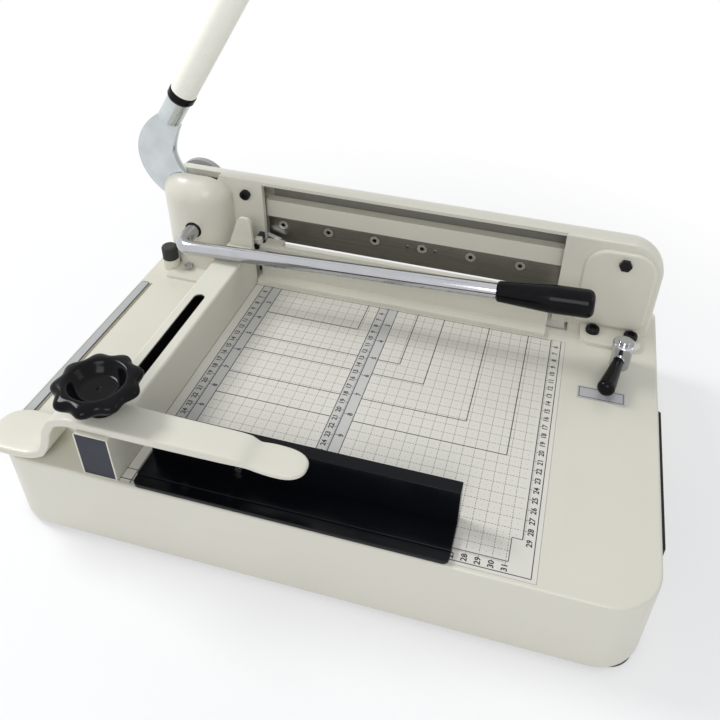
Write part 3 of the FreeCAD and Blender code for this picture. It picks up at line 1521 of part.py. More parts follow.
# Screws that hold the fence to the arm, from below
fence_screws = []
for number, (x, y) in enumerate(fence_screw_spots):
    seat = up(S.fence_block_low)
    head = cylinder(f"fence_screw_head_{number}", "z", x, y, S.fence_screw_head,
                    seat - S.fence_screw_head, seat)
    stem = cylinder(f"fence_screw_stem_{number}", "z", x, y, S.fence_screw_radius,
                    seat, arm_low + S.arm_thickness * 0.7)
    fence_screws.append(fused(f"fence_screw_{number}", [head, stem]))
keep(group("fence_screws", fence_screws))

# Small round-headed screw low on the fence's face
face_x = along(S.face_screw_x)
face_z = up(S.face_screw_z)
face_head = cylinder("face_screw_head", "y", face_x, face_z, S.face_screw_head,
                     fence_face - S.face_screw_thick, fence_face)
face_stem = cylinder("face_screw_stem", "y", face_x, face_z, S.face_screw_shank, fence_face,
                     fence_face + S.fence_wall / 2)
keep(fused("fence_face_screw", [face_head, face_stem]))

# Stud and slide nut that lock the gauge to the rail
nut_top = up(S.rail_height) - S.rail_wall - S.seat_gap
nut_low = nut_top - S.slide_nut_height
keep(cylinder("knob_stud", "z", stud_x, stud_y, S.stud_radius, nut_low, up(S.stud_top)))
nut_block = block(
    "slide_nut_block",
    stud_x - S.slide_nut_width / 2, stud_y - S.slide_nut_length / 2, nut_low,
    stud_x + S.slide_nut_width / 2, stud_y + S.slide_nut_length / 2, nut_top,
)
nut_bore = cylinder("slide_nut_bore", "z", stud_x, stud_y, S.stud_radius + S.running_gap,
                    nut_low - S.slide_nut_height, nut_top + S.slide_nut_height)
keep(less("slide_nut", nut_block, nut_bore))

# Star knob: a rim with shallow lobes, a bowl in its top and a flared neck down to the arm
knob = Piece("star_knob")
knob_thickness = S.knob_high - S.knob_low
knob.pad("z", [(dim(0), dim(0), S.knob_disc)], dim(0), knob_thickness)
lobe = knob.pad("z", [(S.knob_lobe_at, dim(0), S.knob_lobe)], dim(0), knob_thickness)
pattern = knob.body.newObject("PartDesign::PolarPattern", "knob_lobes_pattern")
pattern.Originals = [lobe]
z_axis = [feature for feature in knob.body.Origin.OriginFeatures if feature.Role == "Z_Axis"][0]
pattern.Axis = (z_axis, [""])
pattern.Angle = 360
bind(pattern, "Occurrences", S.knob_lobes)
knob.body.Tip = pattern
doc.recompute()
lobe_tip = S.knob_lobe_at + S.knob_lobe
lobe_spots = []
for i in range(int(SIZES["knob_lobes"])):
    turn = 2 * math.pi * (i + 0.03) / SIZES["knob_lobes"]
    for level in (0.0, float(knob_thickness)):
        lobe_spots.append((lobe_tip * math.cos(turn) * 0.999, lobe_tip * math.sin(turn) * 0.999, level))
knob.fillet(S.knob_edge, *lobe_spots)
neck_low = arm_high + S.seat_gap - up(S.knob_low)
bowl_low = knob_thickness - S.knob_cup_depth
knob.revolve("PartDesign::Revolution", [
    (dim(0), neck_low),
    (S.knob_neck, neck_low),
    (S.knob_neck, -S.knob_edge * 3),
    (S.knob_flare, dim(0)),
    (S.knob_flare, S.knob_edge),
    (dim(0), S.knob_edge),
])
knob.revolve("PartDesign::Groove", [
    (dim(0), bowl_low),
    (S.knob_cup_floor, bowl_low),
    (S.knob_cup * 0.8, bowl_low + S.knob_cup_depth * 0.3),
    (S.knob_cup, knob_thickness - S.knob_edge * 0.6),
    (S.knob_cup + S.knob_edge * 0.6, knob_thickness),
    (dim(0), knob_thickness),
])
knob.cut("z", [(dim(0), dim(0), S.stud_radius + S.running_gap)], neck_low, neck_low + S.knob_bore_depth)
knob.cut("z", [(dim(0), dim(0), S.knob_dimple)], bowl_low - S.knob_dimple, bowl_low)
place(knob.body, stud_x, stud_y, up(S.knob_low))
keep(knob)

# Lock lever: a chrome hub on a screw, with a boss that carries the black handle
lock_x = past(S.lock_x)
lock_y = back(-S.lock_y)
hub = Piece("lock_hub")
hub_low = TOP + S.seat_gap
disc_low = up(S.lock_hub_height - S.lock_disc_height)
hub.pad("z", [(lock_x, lock_y, S.lock_hub_radius)], hub_low, disc_low)
hub.pad("z", [(lock_x, lock_y, S.lock_disc_radius)], disc_low, up(S.lock_hub_height))
hub.fillet(S.lock_disc_height / 4, (lock_x - S.lock_disc_radius, lock_y, up(S.lock_hub_height)))
hub.cut("z", [(lock_x, lock_y, S.lock_screw_radius + S.running_gap)], hub_low, up(S.lock_hub_height))
lock_turn = Rotation(Vector(0, 0, 1), float(S.lock_handle_angle))
boss_start = S.lock_hub_radius * 0.6
boss_direction = lock_turn.multVec(Vector(1, 0, 0))
boss = doc.addObject("Part::Cylinder", "lock_boss")
bind(boss, "Radius", S.lock_boss_radius)
bind(boss, "Height", S.lock_boss_length - boss_start)
place(boss, lock_x + boss_start * boss_direction.x, lock_y + boss_start * boss_direction.y, up(S.lock_boss_z),
      lock_turn.multiply(Rotation(Vector(0, 1, 0), 90)))
keep(fused("lock_lever_hub", [hub.body, boss]))
handle = Piece("lock_lever_handle")
handle_end = S.lock_boss_length + S.lock_handle_length
handle.turn([
    (S.lock_boss_length, dim(0)),
    (S.lock_boss_length, S.lock_handle_thin - S.lock_handle_round / 4),
    (S.lock_boss_length + S.lock_handle_round / 3, S.lock_handle_thin),
    (handle_end, S.lock_handle_thick, S.lock_handle_round),
    (handle_end, dim(0)),
])
place(handle.body, lock_x, lock_y, up(S.lock_boss_z), lock_turn)
keep(handle)
lock_stem = cylinder("lock_stem", "z", lock_x, lock_y, S.lock_screw_radius, TOP - S.top_wall,
                     up(S.lock_hub_height) + S.seat_gap)
lock_head = cylinder("lock_head", "z", lock_x, lock_y, S.lock_screw_head,
                     up(S.lock_hub_height) + S.seat_gap, up(S.lock_hub_height) + S.lock_screw_radius)
keep(fused("lock_screw", [lock_stem, lock_head]))

# Bare label plate beside the lock lever
label = Piece("label_plate")
label.pad("z", [rectangle(
    past(S.label_left), back(-S.label_front), past(S.label_right), back(-S.label_rear),
)], TOP, TOP + S.label_thickness)
keep(label)

# Black carrying handles on the two side walls
for name, wall, sense in (("side_handle_left", LEFT, -1), ("side_handle_right", RIGHT, 1)):
    outer = wall + S.handle_proud * sense
    rear_end = back(-S.handle_rear)
    front_end = back(-S.handle_front)
    side = Piece(name)
    outline = [
        (wall, front_end),
        (outer, front_end + S.handle_chamfer),
        (outer, rear_end - S.handle_chamfer),
        (wall, rear_end),
    ]
    side.pad("z", [outline], TOP - S.handle_bottom, TOP - S.handle_top)
    keep(side)

# Test every sub-part, then write it
doc.recompute()
for item in doc.Objects:
    if "Invalid" in item.State or "Error" in item.State:
        raise RuntimeError(f"{item.Name} failed: {item.State}")
os.makedirs("parts", exist_ok=True)
for item in nodes:
    shape = item.Shape
    if shape.isNull() or not shape.isValid():
        raise RuntimeError(f"{item.Label} has no valid shape")
    shape.exportStep(f"parts/{item.Label}.step")
    box = shape.BoundBox
    low = (box.XMin, box.YMin, box.ZMin)
    high = (box.XMax, box.YMax, box.ZMax)
    spans = " ".join(f"{a:7.1f}..{b:7.1f}" for a, b in zip(low, high))
    print(f"{item.Label:24s} solids {len(shape.Solids)} volume {shape.Volume:12.1f} at {spans}")
print(f"{len(nodes)} sub-parts")
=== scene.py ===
import math

import bmesh
import bpy
from mathutils import Euler, Matrix, Vector


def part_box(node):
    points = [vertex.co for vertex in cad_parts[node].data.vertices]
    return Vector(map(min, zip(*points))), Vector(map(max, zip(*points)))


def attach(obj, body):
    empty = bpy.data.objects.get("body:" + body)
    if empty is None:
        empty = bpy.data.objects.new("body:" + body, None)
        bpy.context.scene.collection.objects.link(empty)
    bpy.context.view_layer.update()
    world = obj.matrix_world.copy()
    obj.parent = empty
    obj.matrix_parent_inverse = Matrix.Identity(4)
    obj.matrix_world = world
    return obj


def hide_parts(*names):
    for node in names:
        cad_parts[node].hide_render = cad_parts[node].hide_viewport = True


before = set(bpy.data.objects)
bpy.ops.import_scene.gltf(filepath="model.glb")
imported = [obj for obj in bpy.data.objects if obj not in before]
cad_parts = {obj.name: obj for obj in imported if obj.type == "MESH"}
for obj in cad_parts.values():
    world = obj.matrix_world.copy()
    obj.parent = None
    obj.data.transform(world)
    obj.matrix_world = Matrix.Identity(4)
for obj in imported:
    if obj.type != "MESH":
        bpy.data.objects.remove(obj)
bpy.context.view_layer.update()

# Base casting
# One iron casting, open below, with round front corners and a machined table, all under warm
# off-white enamel. The enamel flows a little, so it has a faint ripple and a soft gloss.
MM = 0.001
CREAM = (0.68, 0.66, 0.57)
CREAM_SHADE = (0.64, 0.62, 0.535)
COAT_ROUGHNESS = 0.08
MIX_FACTOR, MIX_FIRST, MIX_SECOND, MIX_RESULT = 0, 6, 7, 2


class Flow:
    """A value on its way through a node tree; each sum or product adds its Math node."""

    def __init__(self, tree, socket):
        self.tree = tree
        self.socket = socket

    def maths(self, operation, *others):
        return self.tree.node("ShaderNodeMath", {"operation": operation}, [self, *others])

    def __add__(self, other):
        return self.maths("ADD", other)

    def __sub__(self, other):
        return self.maths("SUBTRACT", other)

    def __mul__(self, other):
        return self.maths("MULTIPLY", other)

    def __truediv__(self, other):
        return self.maths("DIVIDE", other)

    def __rsub__(self, other):
        return self.tree.node("ShaderNodeMath", {"operation": "SUBTRACT"}, [other, self])

    __radd__ = __add__
    __rmul__ = __mul__

    def above(self, level):
        return self.maths("GREATER_THAN", level)

    def below(self, level):
        return self.maths("LESS_THAN", level)

    def within(self, low, high):
        return self.above(low) * self.below(high)

    def near(self, level, reach):
        return (self - level).maths("ABSOLUTE").below(reach)

    def either(self, other):
        return self.maths("MAXIMUM", other)

    def from_range(self, low, high, to_low, to_high):
        return self.tree.node(
            "ShaderNodeMapRange", {},
            {"Value": self, "From Min": low, "From Max": high, "To Min": to_low, "To Max": to_high},
        )


class Tree:
    """The nodes of one finish, or of the studio's surround."""

    def __init__(self, node_tree):
        self.nodes = node_tree.nodes
        self.links = node_tree.links

    def plug(self, socket, value):
        if isinstance(value, Flow):
            self.links.new(value.socket, socket)
        else:
            socket.default_value = value

    def node(self, kind, settings, inputs, output=0):
        made = self.nodes.new(kind)
        for key, value in settings.items():
            setattr(made, key, value)
        pairs = inputs.items() if isinstance(inputs, dict) else enumerate(inputs)
        for key, value in pairs:
            self.plug(made.inputs[key], value)
        return Flow(self, made.outputs[output])


class Finish(Tree):
    """One surface finish: a principled shader and the patterns that feed it."""

    def __init__(self, name, colour, roughness, metallic=0.0, coat=0.0, specular=0.5):
        self.material = bpy.data.materials.new(name)
        self.material.use_nodes = True
        super().__init__(self.material.node_tree)
        self.shader = self.nodes["Principled BSDF"]
        self.colour = (*colour, 1.0)
        self.feed("Base Color", self.colour)
        self.feed("Roughness", roughness)
        self.feed("Metallic", metallic)
        self.feed("Coat Weight", coat)
        self.feed("Coat Roughness", COAT_ROUGHNESS)
        self.feed("Specular IOR Level", specular)

    def feed(self, name, value):
        self.plug(self.shader.inputs[name], value)

    def place(self):
        return self.node("ShaderNodeTexCoord", {}, {}, "Object")

    def axis(self, letter):
        return self.node("ShaderNodeSeparateXYZ", {}, [self.place()], letter.upper())

    def stretched(self, scale):
        return self.node("ShaderNodeMapping", {}, {"Vector": self.place(), "Scale": scale})

    def noise(self, scale, detail=3.0, roughness=0.5, place=None):
        return self.node(
            "ShaderNodeTexNoise", {},
            {
                "Vector": place or self.place(), "Scale": scale, "Detail": detail,
                "Roughness": roughness,
            },
        )

    def mix(self, factor, first, second):
        """Mixes two colours; a Mix node's colour sockets are only told apart by number."""
        return self.node(
            "ShaderNodeMix", {"data_type": "RGBA"},
            {MIX_FACTOR: factor, MIX_FIRST: first, MIX_SECOND: second}, MIX_RESULT,
        )

    def tint(self, factor, colour, onto=None):
        return self.mix(factor, onto or self.colour, (*colour, 1.0))

    def bump(self, height, strength, distance):
        self.feed("Normal", self.node(
            "ShaderNodeBump", {}, {"Height": height, "Strength": strength, "Distance": distance},
        ))

    def on(self, *names):
        """Puts this finish on CAD nodes."""
        for name in names:
            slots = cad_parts[name].data.materials
            slots.clear()
            slots.append(self.material)


def enamel(name, colour, shade, roughness, ripple):
    """Sprayed enamel: a cloudy tint with fine specks, a wavy gloss and a fine ripple."""
    made = Finish(name, colour, roughness, coat=0.15, specular=0.4)
    cloud = made.noise(9.0, 4.0).from_range(0.35, 0.7, 0.0, 0.5)
    speck = made.noise(1400.0, 1.0).above(0.735)
    speck_colour = [c * 0.45 for c in shade]
    made.feed("Base Color", made.tint(speck * 0.18, speck_colour, made.tint(cloud, shade)))
    gloss = made.noise(35.0, 3.0)
    made.feed("Roughness", gloss.from_range(0.3, 0.7, roughness - 0.05, roughness + 0.07))
    waves = made.noise(620.0, 2.0) + made.noise(70.0, 2.0) * 0.8
    made.bump(waves, ripple, 0.4 * MM)
    return made


cream_enamel = enamel("cream_enamel", CREAM, CREAM_SHADE, roughness=0.36, ripple=0.10)
cream_enamel.on("base_casting")

# Rubber feet
# Four soft black rubber feet, moulded with a wide sole and pushed into bosses under the corners.
# They scuff to grey where they slide on a bench. The stop cap is of the same rubber.
FOOT_PROFILE = [
    (0.0, 9.0), (9.6, 9.0), (10.0, 8.6), (10.0, 5.0), (14.0, 4.75),
    (22.0, 4.6), (23.0, 3.6), (23.0, 0.9), (22.1, 0.0), (0.0, 0.0),
]
FOOT_REACH = 15.0 * MM
FOOT_STEPS = 48
WELD = 0.02 * MM


def turned(mesh, profile, centre, steps):
    """Spins a profile of (radius, height) in millimetres round an upright axis."""
    points = [mesh.verts.new(centre + Vector((r, 0.0, z)) * MM) for r, z in profile]
    sides = [mesh.edges.new(pair) for pair in zip(points, points[1:])]
    bmesh.ops.spin(
        mesh, geom=points + sides, axis=(0.0, 0.0, 1.0), cent=centre, angle=2.0 * math.pi,
        steps=steps, use_merge=True,
    )
    bmesh.ops.remove_doubles(mesh, verts=mesh.verts, dist=WELD)
    bmesh.ops.recalc_face_normals(mesh, faces=mesh.faces)


def new_piece(name, mesh, finish):
    """Makes an object of a bmesh that is ready, and gives it its finish."""
    data = bpy.data.meshes.new(name)
    mesh.to_mesh(data)
    mesh.free()
    data.materials.append(finish.material)
    piece = bpy.data.objects.new(name, data)
    bpy.context.scene.collection.objects.link(piece)
    return piece


rubber = Finish("foot_rubber", (0.018, 0.018, 0.018), 0.75)
scuff = rubber.noise(240.0, 4.0).from_range(0.5, 0.75, 0.0, 1.0)
rubber.feed("Base Color", rubber.tint(scuff * 0.5, (0.06, 0.058, 0.055)))
rubber.feed("Roughness", scuff * 0.15 + 0.7)
rubber.bump(rubber.noise(1500.0, 2.0), 0.25, 0.2 * MM)
rubber.on("stop_cap")
feet_low, feet_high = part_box("rubber_feet")
feet_mesh = bmesh.new()
for x in (feet_low.x + FOOT_REACH, feet_high.x - FOOT_REACH):
    for y in (feet_low.y + FOOT_REACH, feet_high.y - FOOT_REACH):
        turned(feet_mesh, FOOT_PROFILE, Vector((x, y, feet_low.z)), FOOT_STEPS)
feet = new_piece("rubber_foot_mouldings", feet_mesh, rubber)
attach(feet, "base")
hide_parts("rubber_feet")

# Table plate
# A thin pale plate let into the table, printed with a centimetre grid, two rulers along the
# paper's left half, one at its right edge, one in front, and the outlines of the sheet sizes.
plate_low, plate_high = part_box("table_plate")
PLATE_REAR = 50.0
PLATE_WHITE = (0.69, 0.67, 0.61)
PLATE_CLOUD = (0.64, 0.62, 0.565)
RULER_GREY = (0.40, 0.41, 0.425)
INK = (0.014, 0.016, 0.024)
PALE_INK = (0.07, 0.06, 0.05)
CENTIMETRE, INCH, GRID_DASH = 10.0, 25.4, 2.5
GRID_LINE, DOT, CORNER_LINE, RULER_LINE, SHEET_LINE = 0.5, 0.55, 0.7, 0.8, 0.9
FINE_TICK, LONG_TICK, INCH_TICK = 0.9, 2.0, 2.2
LEFT_RULER, MIDDLE_RULER = (10.0, 30.0), (140.0, 160.0)
RAIL_LINE, LEFT_LINE, MIDDLE_LINE, RIGHT_LINE = 0.6, 20.0, 150.0, 320.0
RULER_LINES = (*LEFT_RULER, LEFT_LINE, *MIDDLE_RULER, MIDDLE_LINE, RIGHT_LINE)
FIELD_LEFT, FIELD_RIGHT, FIELD_FRONT = 30.0, 318.0, 308.0
FRONT_RULER, PRINT_RIGHT, PRINT_FRONT = 309.0, 330.0, 319.0
CORNER_LEFT, CORNER_REAR = 312.0, 288.0
SHEETS = ((297.0, 210.0), (257.0, 182.0), (210.0, 148.0), (182.0, 128.0), (128.0, 91.0))


def spot(x, y, z):
    """A point in millimetres from the rail's face, the cut line and the table's top."""
    return Vector((
        plate_low.x + x * MM, plate_high.y + (y + PLATE_REAR) * MM, plate_high.z + z * MM,
    ))


plate = Finish("printed_plate", PLATE_WHITE, 0.38, coat=0.1)
across = (plate.axis("x") - plate_low.x) / MM
depth = (plate_high.y - plate.axis("y")) / MM + PLATE_REAR


def any_of(masks):
    """One mask that holds several."""
    whole = masks[0]
    for mask in masks[1:]:
        whole = whole.either(mask)
    return whole


def stroke(value, level, width):
    """A printed line of a given width along one coordinate."""
    return value.near(level, width / 2)


def repeats(value, pitch, width):
    """Lines at every pitch along one coordinate."""
    place = (value / pitch + 0.5).maths("FRACT")
    return place.near(0.5, width / pitch / 2)


def dashes(value):
    """Breaks a line that runs along one coordinate into dashes."""
    return (value / GRID_DASH).maths("FRACT").below(0.58)


def outline(width, length):
    """Two sides of a sheet: one across and one along, from the left ruler to the rear edge."""
    side = stroke(across, width, SHEET_LINE) * depth.within(PLATE_REAR, length)
    front = stroke(depth, length, SHEET_LINE) * across.within(FIELD_LEFT, width)
    return side.either(front)


def ruler_ticks(pitch, width, inset, reach):
    """Ticks beside the lines of the left, middle and right rulers."""
    left = across.near(LEFT_LINE - inset, reach)
    middle = across.near(MIDDLE_LINE - inset, reach)
    right = across.near(RIGHT_LINE + reach, reach) * depth.below(CORNER_REAR)
    return repeats(depth, pitch, width) * any_of([middle, left, right])


middle_ruler = across.within(*MIDDLE_RULER)
rulers = across.within(*LEFT_RULER).either(middle_ruler)
corner = across.above(CORNER_LEFT) * depth.above(CORNER_REAR)
field = across.within(FIELD_LEFT, FIELD_RIGHT) * depth.within(PLATE_REAR, FIELD_FRONT)
field = field * (1.0 - middle_ruler.either(corner))
grid_along = repeats(across, CENTIMETRE, GRID_LINE) * dashes(depth)
grid_across = repeats(depth, CENTIMETRE, GRID_LINE) * dashes(across)
grid = grid_along.either(grid_across) * field
dots = repeats(across, CENTIMETRE / 2, DOT) * repeats(depth, CENTIMETRE / 2, DOT) * field
rail_line = stroke(across, RAIL_LINE, GRID_LINE)
ruler_lines = any_of([rail_line] + [stroke(across, at, RULER_LINE) for at in RULER_LINES])
edge_line = stroke(across, PRINT_RIGHT, RULER_LINE) * depth.below(PRINT_FRONT)
rear_line = stroke(depth, PLATE_REAR + 1.0, 0.6) * across.below(FIELD_RIGHT)
notch_side = stroke(across, CORNER_LEFT, CORNER_LINE) * depth.within(CORNER_REAR, FRONT_RULER)
notch_rear = stroke(depth, CORNER_REAR, CORNER_LINE) * across.within(CORNER_LEFT, RIGHT_LINE)
front_rear = stroke(depth, FRONT_RULER, CORNER_LINE) * across.below(CORNER_LEFT)
front_edge = stroke(depth, PRINT_FRONT, RULER_LINE) * across.below(PRINT_RIGHT)
inch_ticks = repeats(depth, INCH, 0.6) * any_of([
    across.near(line + INCH_TICK, INCH_TICK) for line in (MIDDLE_LINE, LEFT_LINE)
])
front_fine = repeats(across, 1.0, 0.22) * depth.near(FRONT_RULER + 1.0, FINE_TICK)
front_long = repeats(across, CENTIMETRE, 0.35) * depth.near(FRONT_RULER + LONG_TICK, LONG_TICK)
front_ticks = front_fine.either(front_long) * across.within(LEFT_LINE, CORNER_LEFT)
fine_ticks = ruler_ticks(1.0, 0.28, inset=0.8, reach=FINE_TICK)
long_ticks = ruler_ticks(CENTIMETRE, GRID_LINE, inset=LONG_TICK, reach=LONG_TICK)
dark_print = any_of([
    any_of([outline(*sheet) for sheet in SHEETS]) * (1.0 - middle_ruler),
    ruler_lines * (1.0 - corner), edge_line, rear_line, notch_side, notch_rear, front_rear,
    front_edge, long_ticks, inch_ticks, front_ticks,
])
paper = plate.tint(plate.noise(14.0, 3.0).from_range(0.3, 0.7, 0.0, 0.35), PLATE_CLOUD)
for mask, strength, colour in (
    (rulers, 0.5, RULER_GREY), (grid, 0.85, PALE_INK), (dots, 0.7, INK),
    (fine_ticks, 0.75, INK), (dark_print, 0.95, INK),
):
    paper = plate.tint(mask * strength, colour, paper)
plate.feed("Base Color", paper)
plate.feed("Roughness", plate.noise(60.0, 3.0).from_range(0.3, 0.7, 0.32, 0.44))
plate.bump(plate.noise(900.0, 2.0), 0.05, 0.2 * MM)
plate.on("table_plate")

# Ruler numbers
# Plain printed numbers beside the rulers' centimetre and inch lines, read from the right-hand
# side, in the same dark ink as the lines.
number_ink = Finish("number_ink", INK, 0.45)
faint = number_ink.noise(900.0, 2.0) * 0.3
number_ink.feed("Base Color", number_ink.tint(faint, (0.10, 0.11, 0.12)))
INK_FILM = 0.04
NUMBER_SIZE = 6.4
NUMBER_WEIGHT = 0.19


def printed_numbers(name, entries):
    """Numbers laid on the plate: entries of (number, across, depth) in millimetres."""
    mesh = bmesh.new()
    for number, at_x, at_depth in entries:
        curve = bpy.data.curves.new("number", "FONT")
        curve.body = str(number)
        curve.size = NUMBER_SIZE * MM
        curve.offset = NUMBER_WEIGHT * MM
        curve.align_x = "CENTER"
        curve.align_y = "CENTER"
        curve.resolution_u = 2
        holder = bpy.data.objects.new("number", curve)
        bpy.context.scene.collection.objects.link(holder)
        bpy.context.view_layer.update()
        flat = bpy.data.meshes.new_from_object(holder)
        place = Matrix.Translation(spot(at_x, -at_depth, INK_FILM))
        flat.transform(place @ Matrix.Rotation(math.pi / 2, 4, "Z"))
        mesh.from_mesh(flat)
        bpy.data.objects.remove(holder)
        bpy.data.curves.remove(curve)
        bpy.data.meshes.remove(flat)
    piece = new_piece(name, mesh, number_ink)
    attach(piece, "base")


for name, at, pitch, numbers in (
    ("left_ruler_numbers", 14.4, CENTIMETRE, range(6, 31)),
    ("middle_ruler_numbers", 144.4, CENTIMETRE, range(6, 31)),
    ("left_inch_numbers", 26.2, INCH, range(3, 13)),
    ("middle_inch_numbers", 156.2, INCH, range(3, 13)),
    ("right_ruler_numbers", 325.6, CENTIMETRE, range(6, 30)),
):
    printed_numbers(name, [(n, at, n * pitch) for n in numbers])
printed_numbers("front_ruler_numbers", [(n, n * CENTIMETRE, 314.6) for n in range(2, 32)])

# Cutting stick
# A loose square strip of off-white plastic in a slit under the knife. It is turned over as it
# wears, so its face is scored by fine cuts along the knife's line.
stick = Finish("stick_plastic", (0.62, 0.61, 0.56), 0.5)
stick_low, stick_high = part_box("cutting_stick")
CUTS_BEHIND_MIDDLE, CUTS_REACH = 9.0 * MM, 3.5 * MM
cuts_line = (stick_low.y + stick_high.y) / 2 + CUTS_BEHIND_MIDDLE
score = stick.noise(1.0, 4.0, place=stick.stretched((6.0, 2600.0, 1.0))).above(0.62)
cuts = score * stick.axis("y").near(cuts_line, CUTS_REACH)
stick.feed("Base Color", stick.tint(cuts * 0.6, (0.25, 0.25, 0.24)))
stick.bump(stick.noise(500.0, 3.0) - cuts, 0.15, 0.3 * MM)
stick.on("cutting_stick")

# Margin strip
# A narrow strip of satin aluminium glued along the left edge, which the gauge's paw slides on.
# Its ends are rounded; its sides and a thin band round its top are painted dark as shade.
strip_low, strip_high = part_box("margin_strip")
STRIP_FRONT = spot(0.0, -297.0, 0.0).y
STRIP_CORNER, STRIP_EDGE = 2.2, 0.4
DARK_SIDE, DARK_FRONT, DARK_REAR = 0.7 * MM, 1.0 * MM, 1.2 * MM
UPRIGHT, HAIR = 0.5 * MM, 0.1 * MM
satin = Finish("satin_strip", (0.46, 0.465, 0.465), 0.5, specular=0.25)
face_across = satin.axis("x").within(strip_low.x + DARK_SIDE, strip_high.x - DARK_SIDE)
face_along = satin.axis("y").within(STRIP_FRONT + DARK_FRONT, strip_high.y - DARK_REAR)
drawn = satin.noise(1.0, 3.0, place=satin.stretched((1500.0, 14.0, 200.0)))
brushed_strip = satin.tint(drawn.from_range(0.35, 0.65, 0.0, 0.5), (0.39, 0.395, 0.40))
# Painted shade: near-black along the strip's sides and the edges of its top, for the shadow lines
# there.
painted_edge_shade = (0.10, 0.10, 0.10, 1.0)
satin.feed("Base Color", satin.mix(face_across * face_along, painted_edge_shade, brushed_strip))
satin.feed("Roughness", drawn.from_range(0.3, 0.7, 0.36, 0.5))
satin.bump(drawn, 0.08, 0.2 * MM)


def add_block(mesh, low, high):
    """A block between two corners."""
    block = bmesh.ops.create_cube(mesh, size=1.0)["verts"]
    bmesh.ops.scale(mesh, verts=block, vec=high - low)
    bmesh.ops.translate(mesh, verts=block, vec=(low + high) / 2)


def rise(edge):
    """How much higher one end of an edge lies than the other."""
    return abs(edge.verts[0].co.z - edge.verts[1].co.z)


def round_off(mesh, edges, width, segments):
    """Rounds edges off to a width in millimetres."""
    bmesh.ops.bevel(
        mesh, geom=edges, offset=width * MM, segments=segments, profile=0.5, affect="EDGES",
        material=-1, clamp_overlap=True,
    )


strip_mesh = bmesh.new()
add_block(strip_mesh, Vector((strip_low.x, STRIP_FRONT, strip_low.z)), strip_high)
round_off(strip_mesh, [edge for edge in strip_mesh.edges if rise(edge) > UPRIGHT], STRIP_CORNER, 5)
top_edges = [
    edge for edge in strip_mesh.edges
    if all(vertex.co.z > strip_high.z - HAIR for vertex in edge.verts)
]
round_off(strip_mesh, top_edges, STRIP_EDGE, 2)
strip = new_piece("margin_strip_bar", strip_mesh, satin)
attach(strip, "base")
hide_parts("margin_strip")

# Side guide rail and its front plug
# A hollow enamelled bar screwed to the table; the paper's left edge lies against it, and the
# gauge's stud runs in its slot. Its inside is painted near-black as shade seen through the slot.
# A matt plastic plug closes the front end.
rail_enamel = enamel("rail_enamel", CREAM, CREAM_SHADE, roughness=0.36, ripple=0.10)
rail_low, rail_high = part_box("side_guide_rail")
RAIL_WALL, RAIL_FLOOR, RAIL_ROOF = 1.6 * MM, 1.0 * MM, spot(0.0, 0.0, 45.9).z
# Painted shade: the rail's inner faces are coloured near-black in place of the shade inside the
# slot.
PAINTED_SLOT_SHADE = (0.02, 0.02, 0.019, 1.0)
between_walls = rail_enamel.axis("x").within(rail_low.x + RAIL_WALL, rail_high.x - RAIL_WALL)
under_roof = rail_enamel.axis("z").within(rail_low.z + RAIL_FLOOR, RAIL_ROOF)
rail_enamel.feed("Base Color", rail_enamel.mix(
    between_walls * under_roof, rail_enamel.colour, PAINTED_SLOT_SHADE,
))
rail_enamel.on("side_guide_rail")


def moulded(name, colour, roughness, grain, coat=0.0, specular=0.14):
    """Moulded plastic: an even colour, a fine spark-eroded grain and rubbed patches."""
    made = Finish(name, colour, roughness, coat=coat, specular=specular)
    rubbed = made.noise(45.0, 4.0).from_range(0.45, 0.75, 0.0, 1.0)
    made.feed("Base Color", made.tint(rubbed * 0.5, [c * 1.6 + 0.004 for c in colour]))
    made.feed("Roughness", rubbed * 0.12 + roughness)
    made.bump(made.noise(1800.0, 2.0), grain, 0.2 * MM)
    return made


plug_plastic = moulded("plug_plastic", (0.035, 0.038, 0.05), 0.42, grain=0.12)
plug_plastic.on("rail_end_plug")

# Side frames and top beam
# Two castings bolted to the table carry the knife's slide; a pressed beam joins their tops. All
# three are enamelled together, but the beam's inner face low down is painted dark grey as the
# shade in its recess.
frame_enamel = enamel("frame_enamel", CREAM, CREAM_SHADE, roughness=0.33, ripple=0.12)
frame_enamel.on("left_side_frame", "right_side_frame", "cap_seat")
beam_enamel = enamel("beam_enamel", CREAM, CREAM_SHADE, roughness=0.33, ripple=0.12)
# Painted shade: the beam's inner face under its fold is coloured dark grey for the shade in the
# recess.
PAINTED_RECESS_SHADE = (0.33, 0.325, 0.29, 1.0)
BEAM_FOLD = spot(0.0, 0.0, 95.0)
INNER_REAR, FOLD_REAR, FOLD_SLOPE, RECESS_SHADE_TOP = 14.5 * MM, 12.5 * MM, 0.9, 6.5 * MM
beam_depth = beam_enamel.axis("y") - BEAM_FOLD.y
beam_height = beam_enamel.axis("z") - BEAM_FOLD.z
under_fold = (beam_depth + beam_height * FOLD_SLOPE).below(FOLD_REAR)
recess_shade_mask = beam_depth.below(INNER_REAR) * under_fold * beam_height.below(RECESS_SHADE_TOP)
beam_enamel.feed("Base Color", beam_enamel.mix(recess_shade_mask, beam_enamel.colour, PAINTED_RECESS_SHADE))
beam_enamel.on("top_beam")

# Rear corner of the right frame
# The hollow inside the right casting comes through its round rear corner, and a thin cap of the
# same roundness closes it, under the same enamel.
CORNER_LOW, CORNER_HIGH = spot(376.0, -8.0, 72.0), spot(418.0, 20.0, 112.0)
CAP_SHRINK = 0.985
CAP_INSIDE, CAP_OUTWARD = spot(396.5, 11.4, 90.9), (0.457, 0.757, 0.469)


def smooth(piece, crease):
    """Smooth shading, broken where two faces meet at more than an angle in degrees."""
    for polygon in piece.data.polygons:
        polygon.use_smooth = True
    piece.data.set_sharp_from_angle(angle=math.radians(crease))


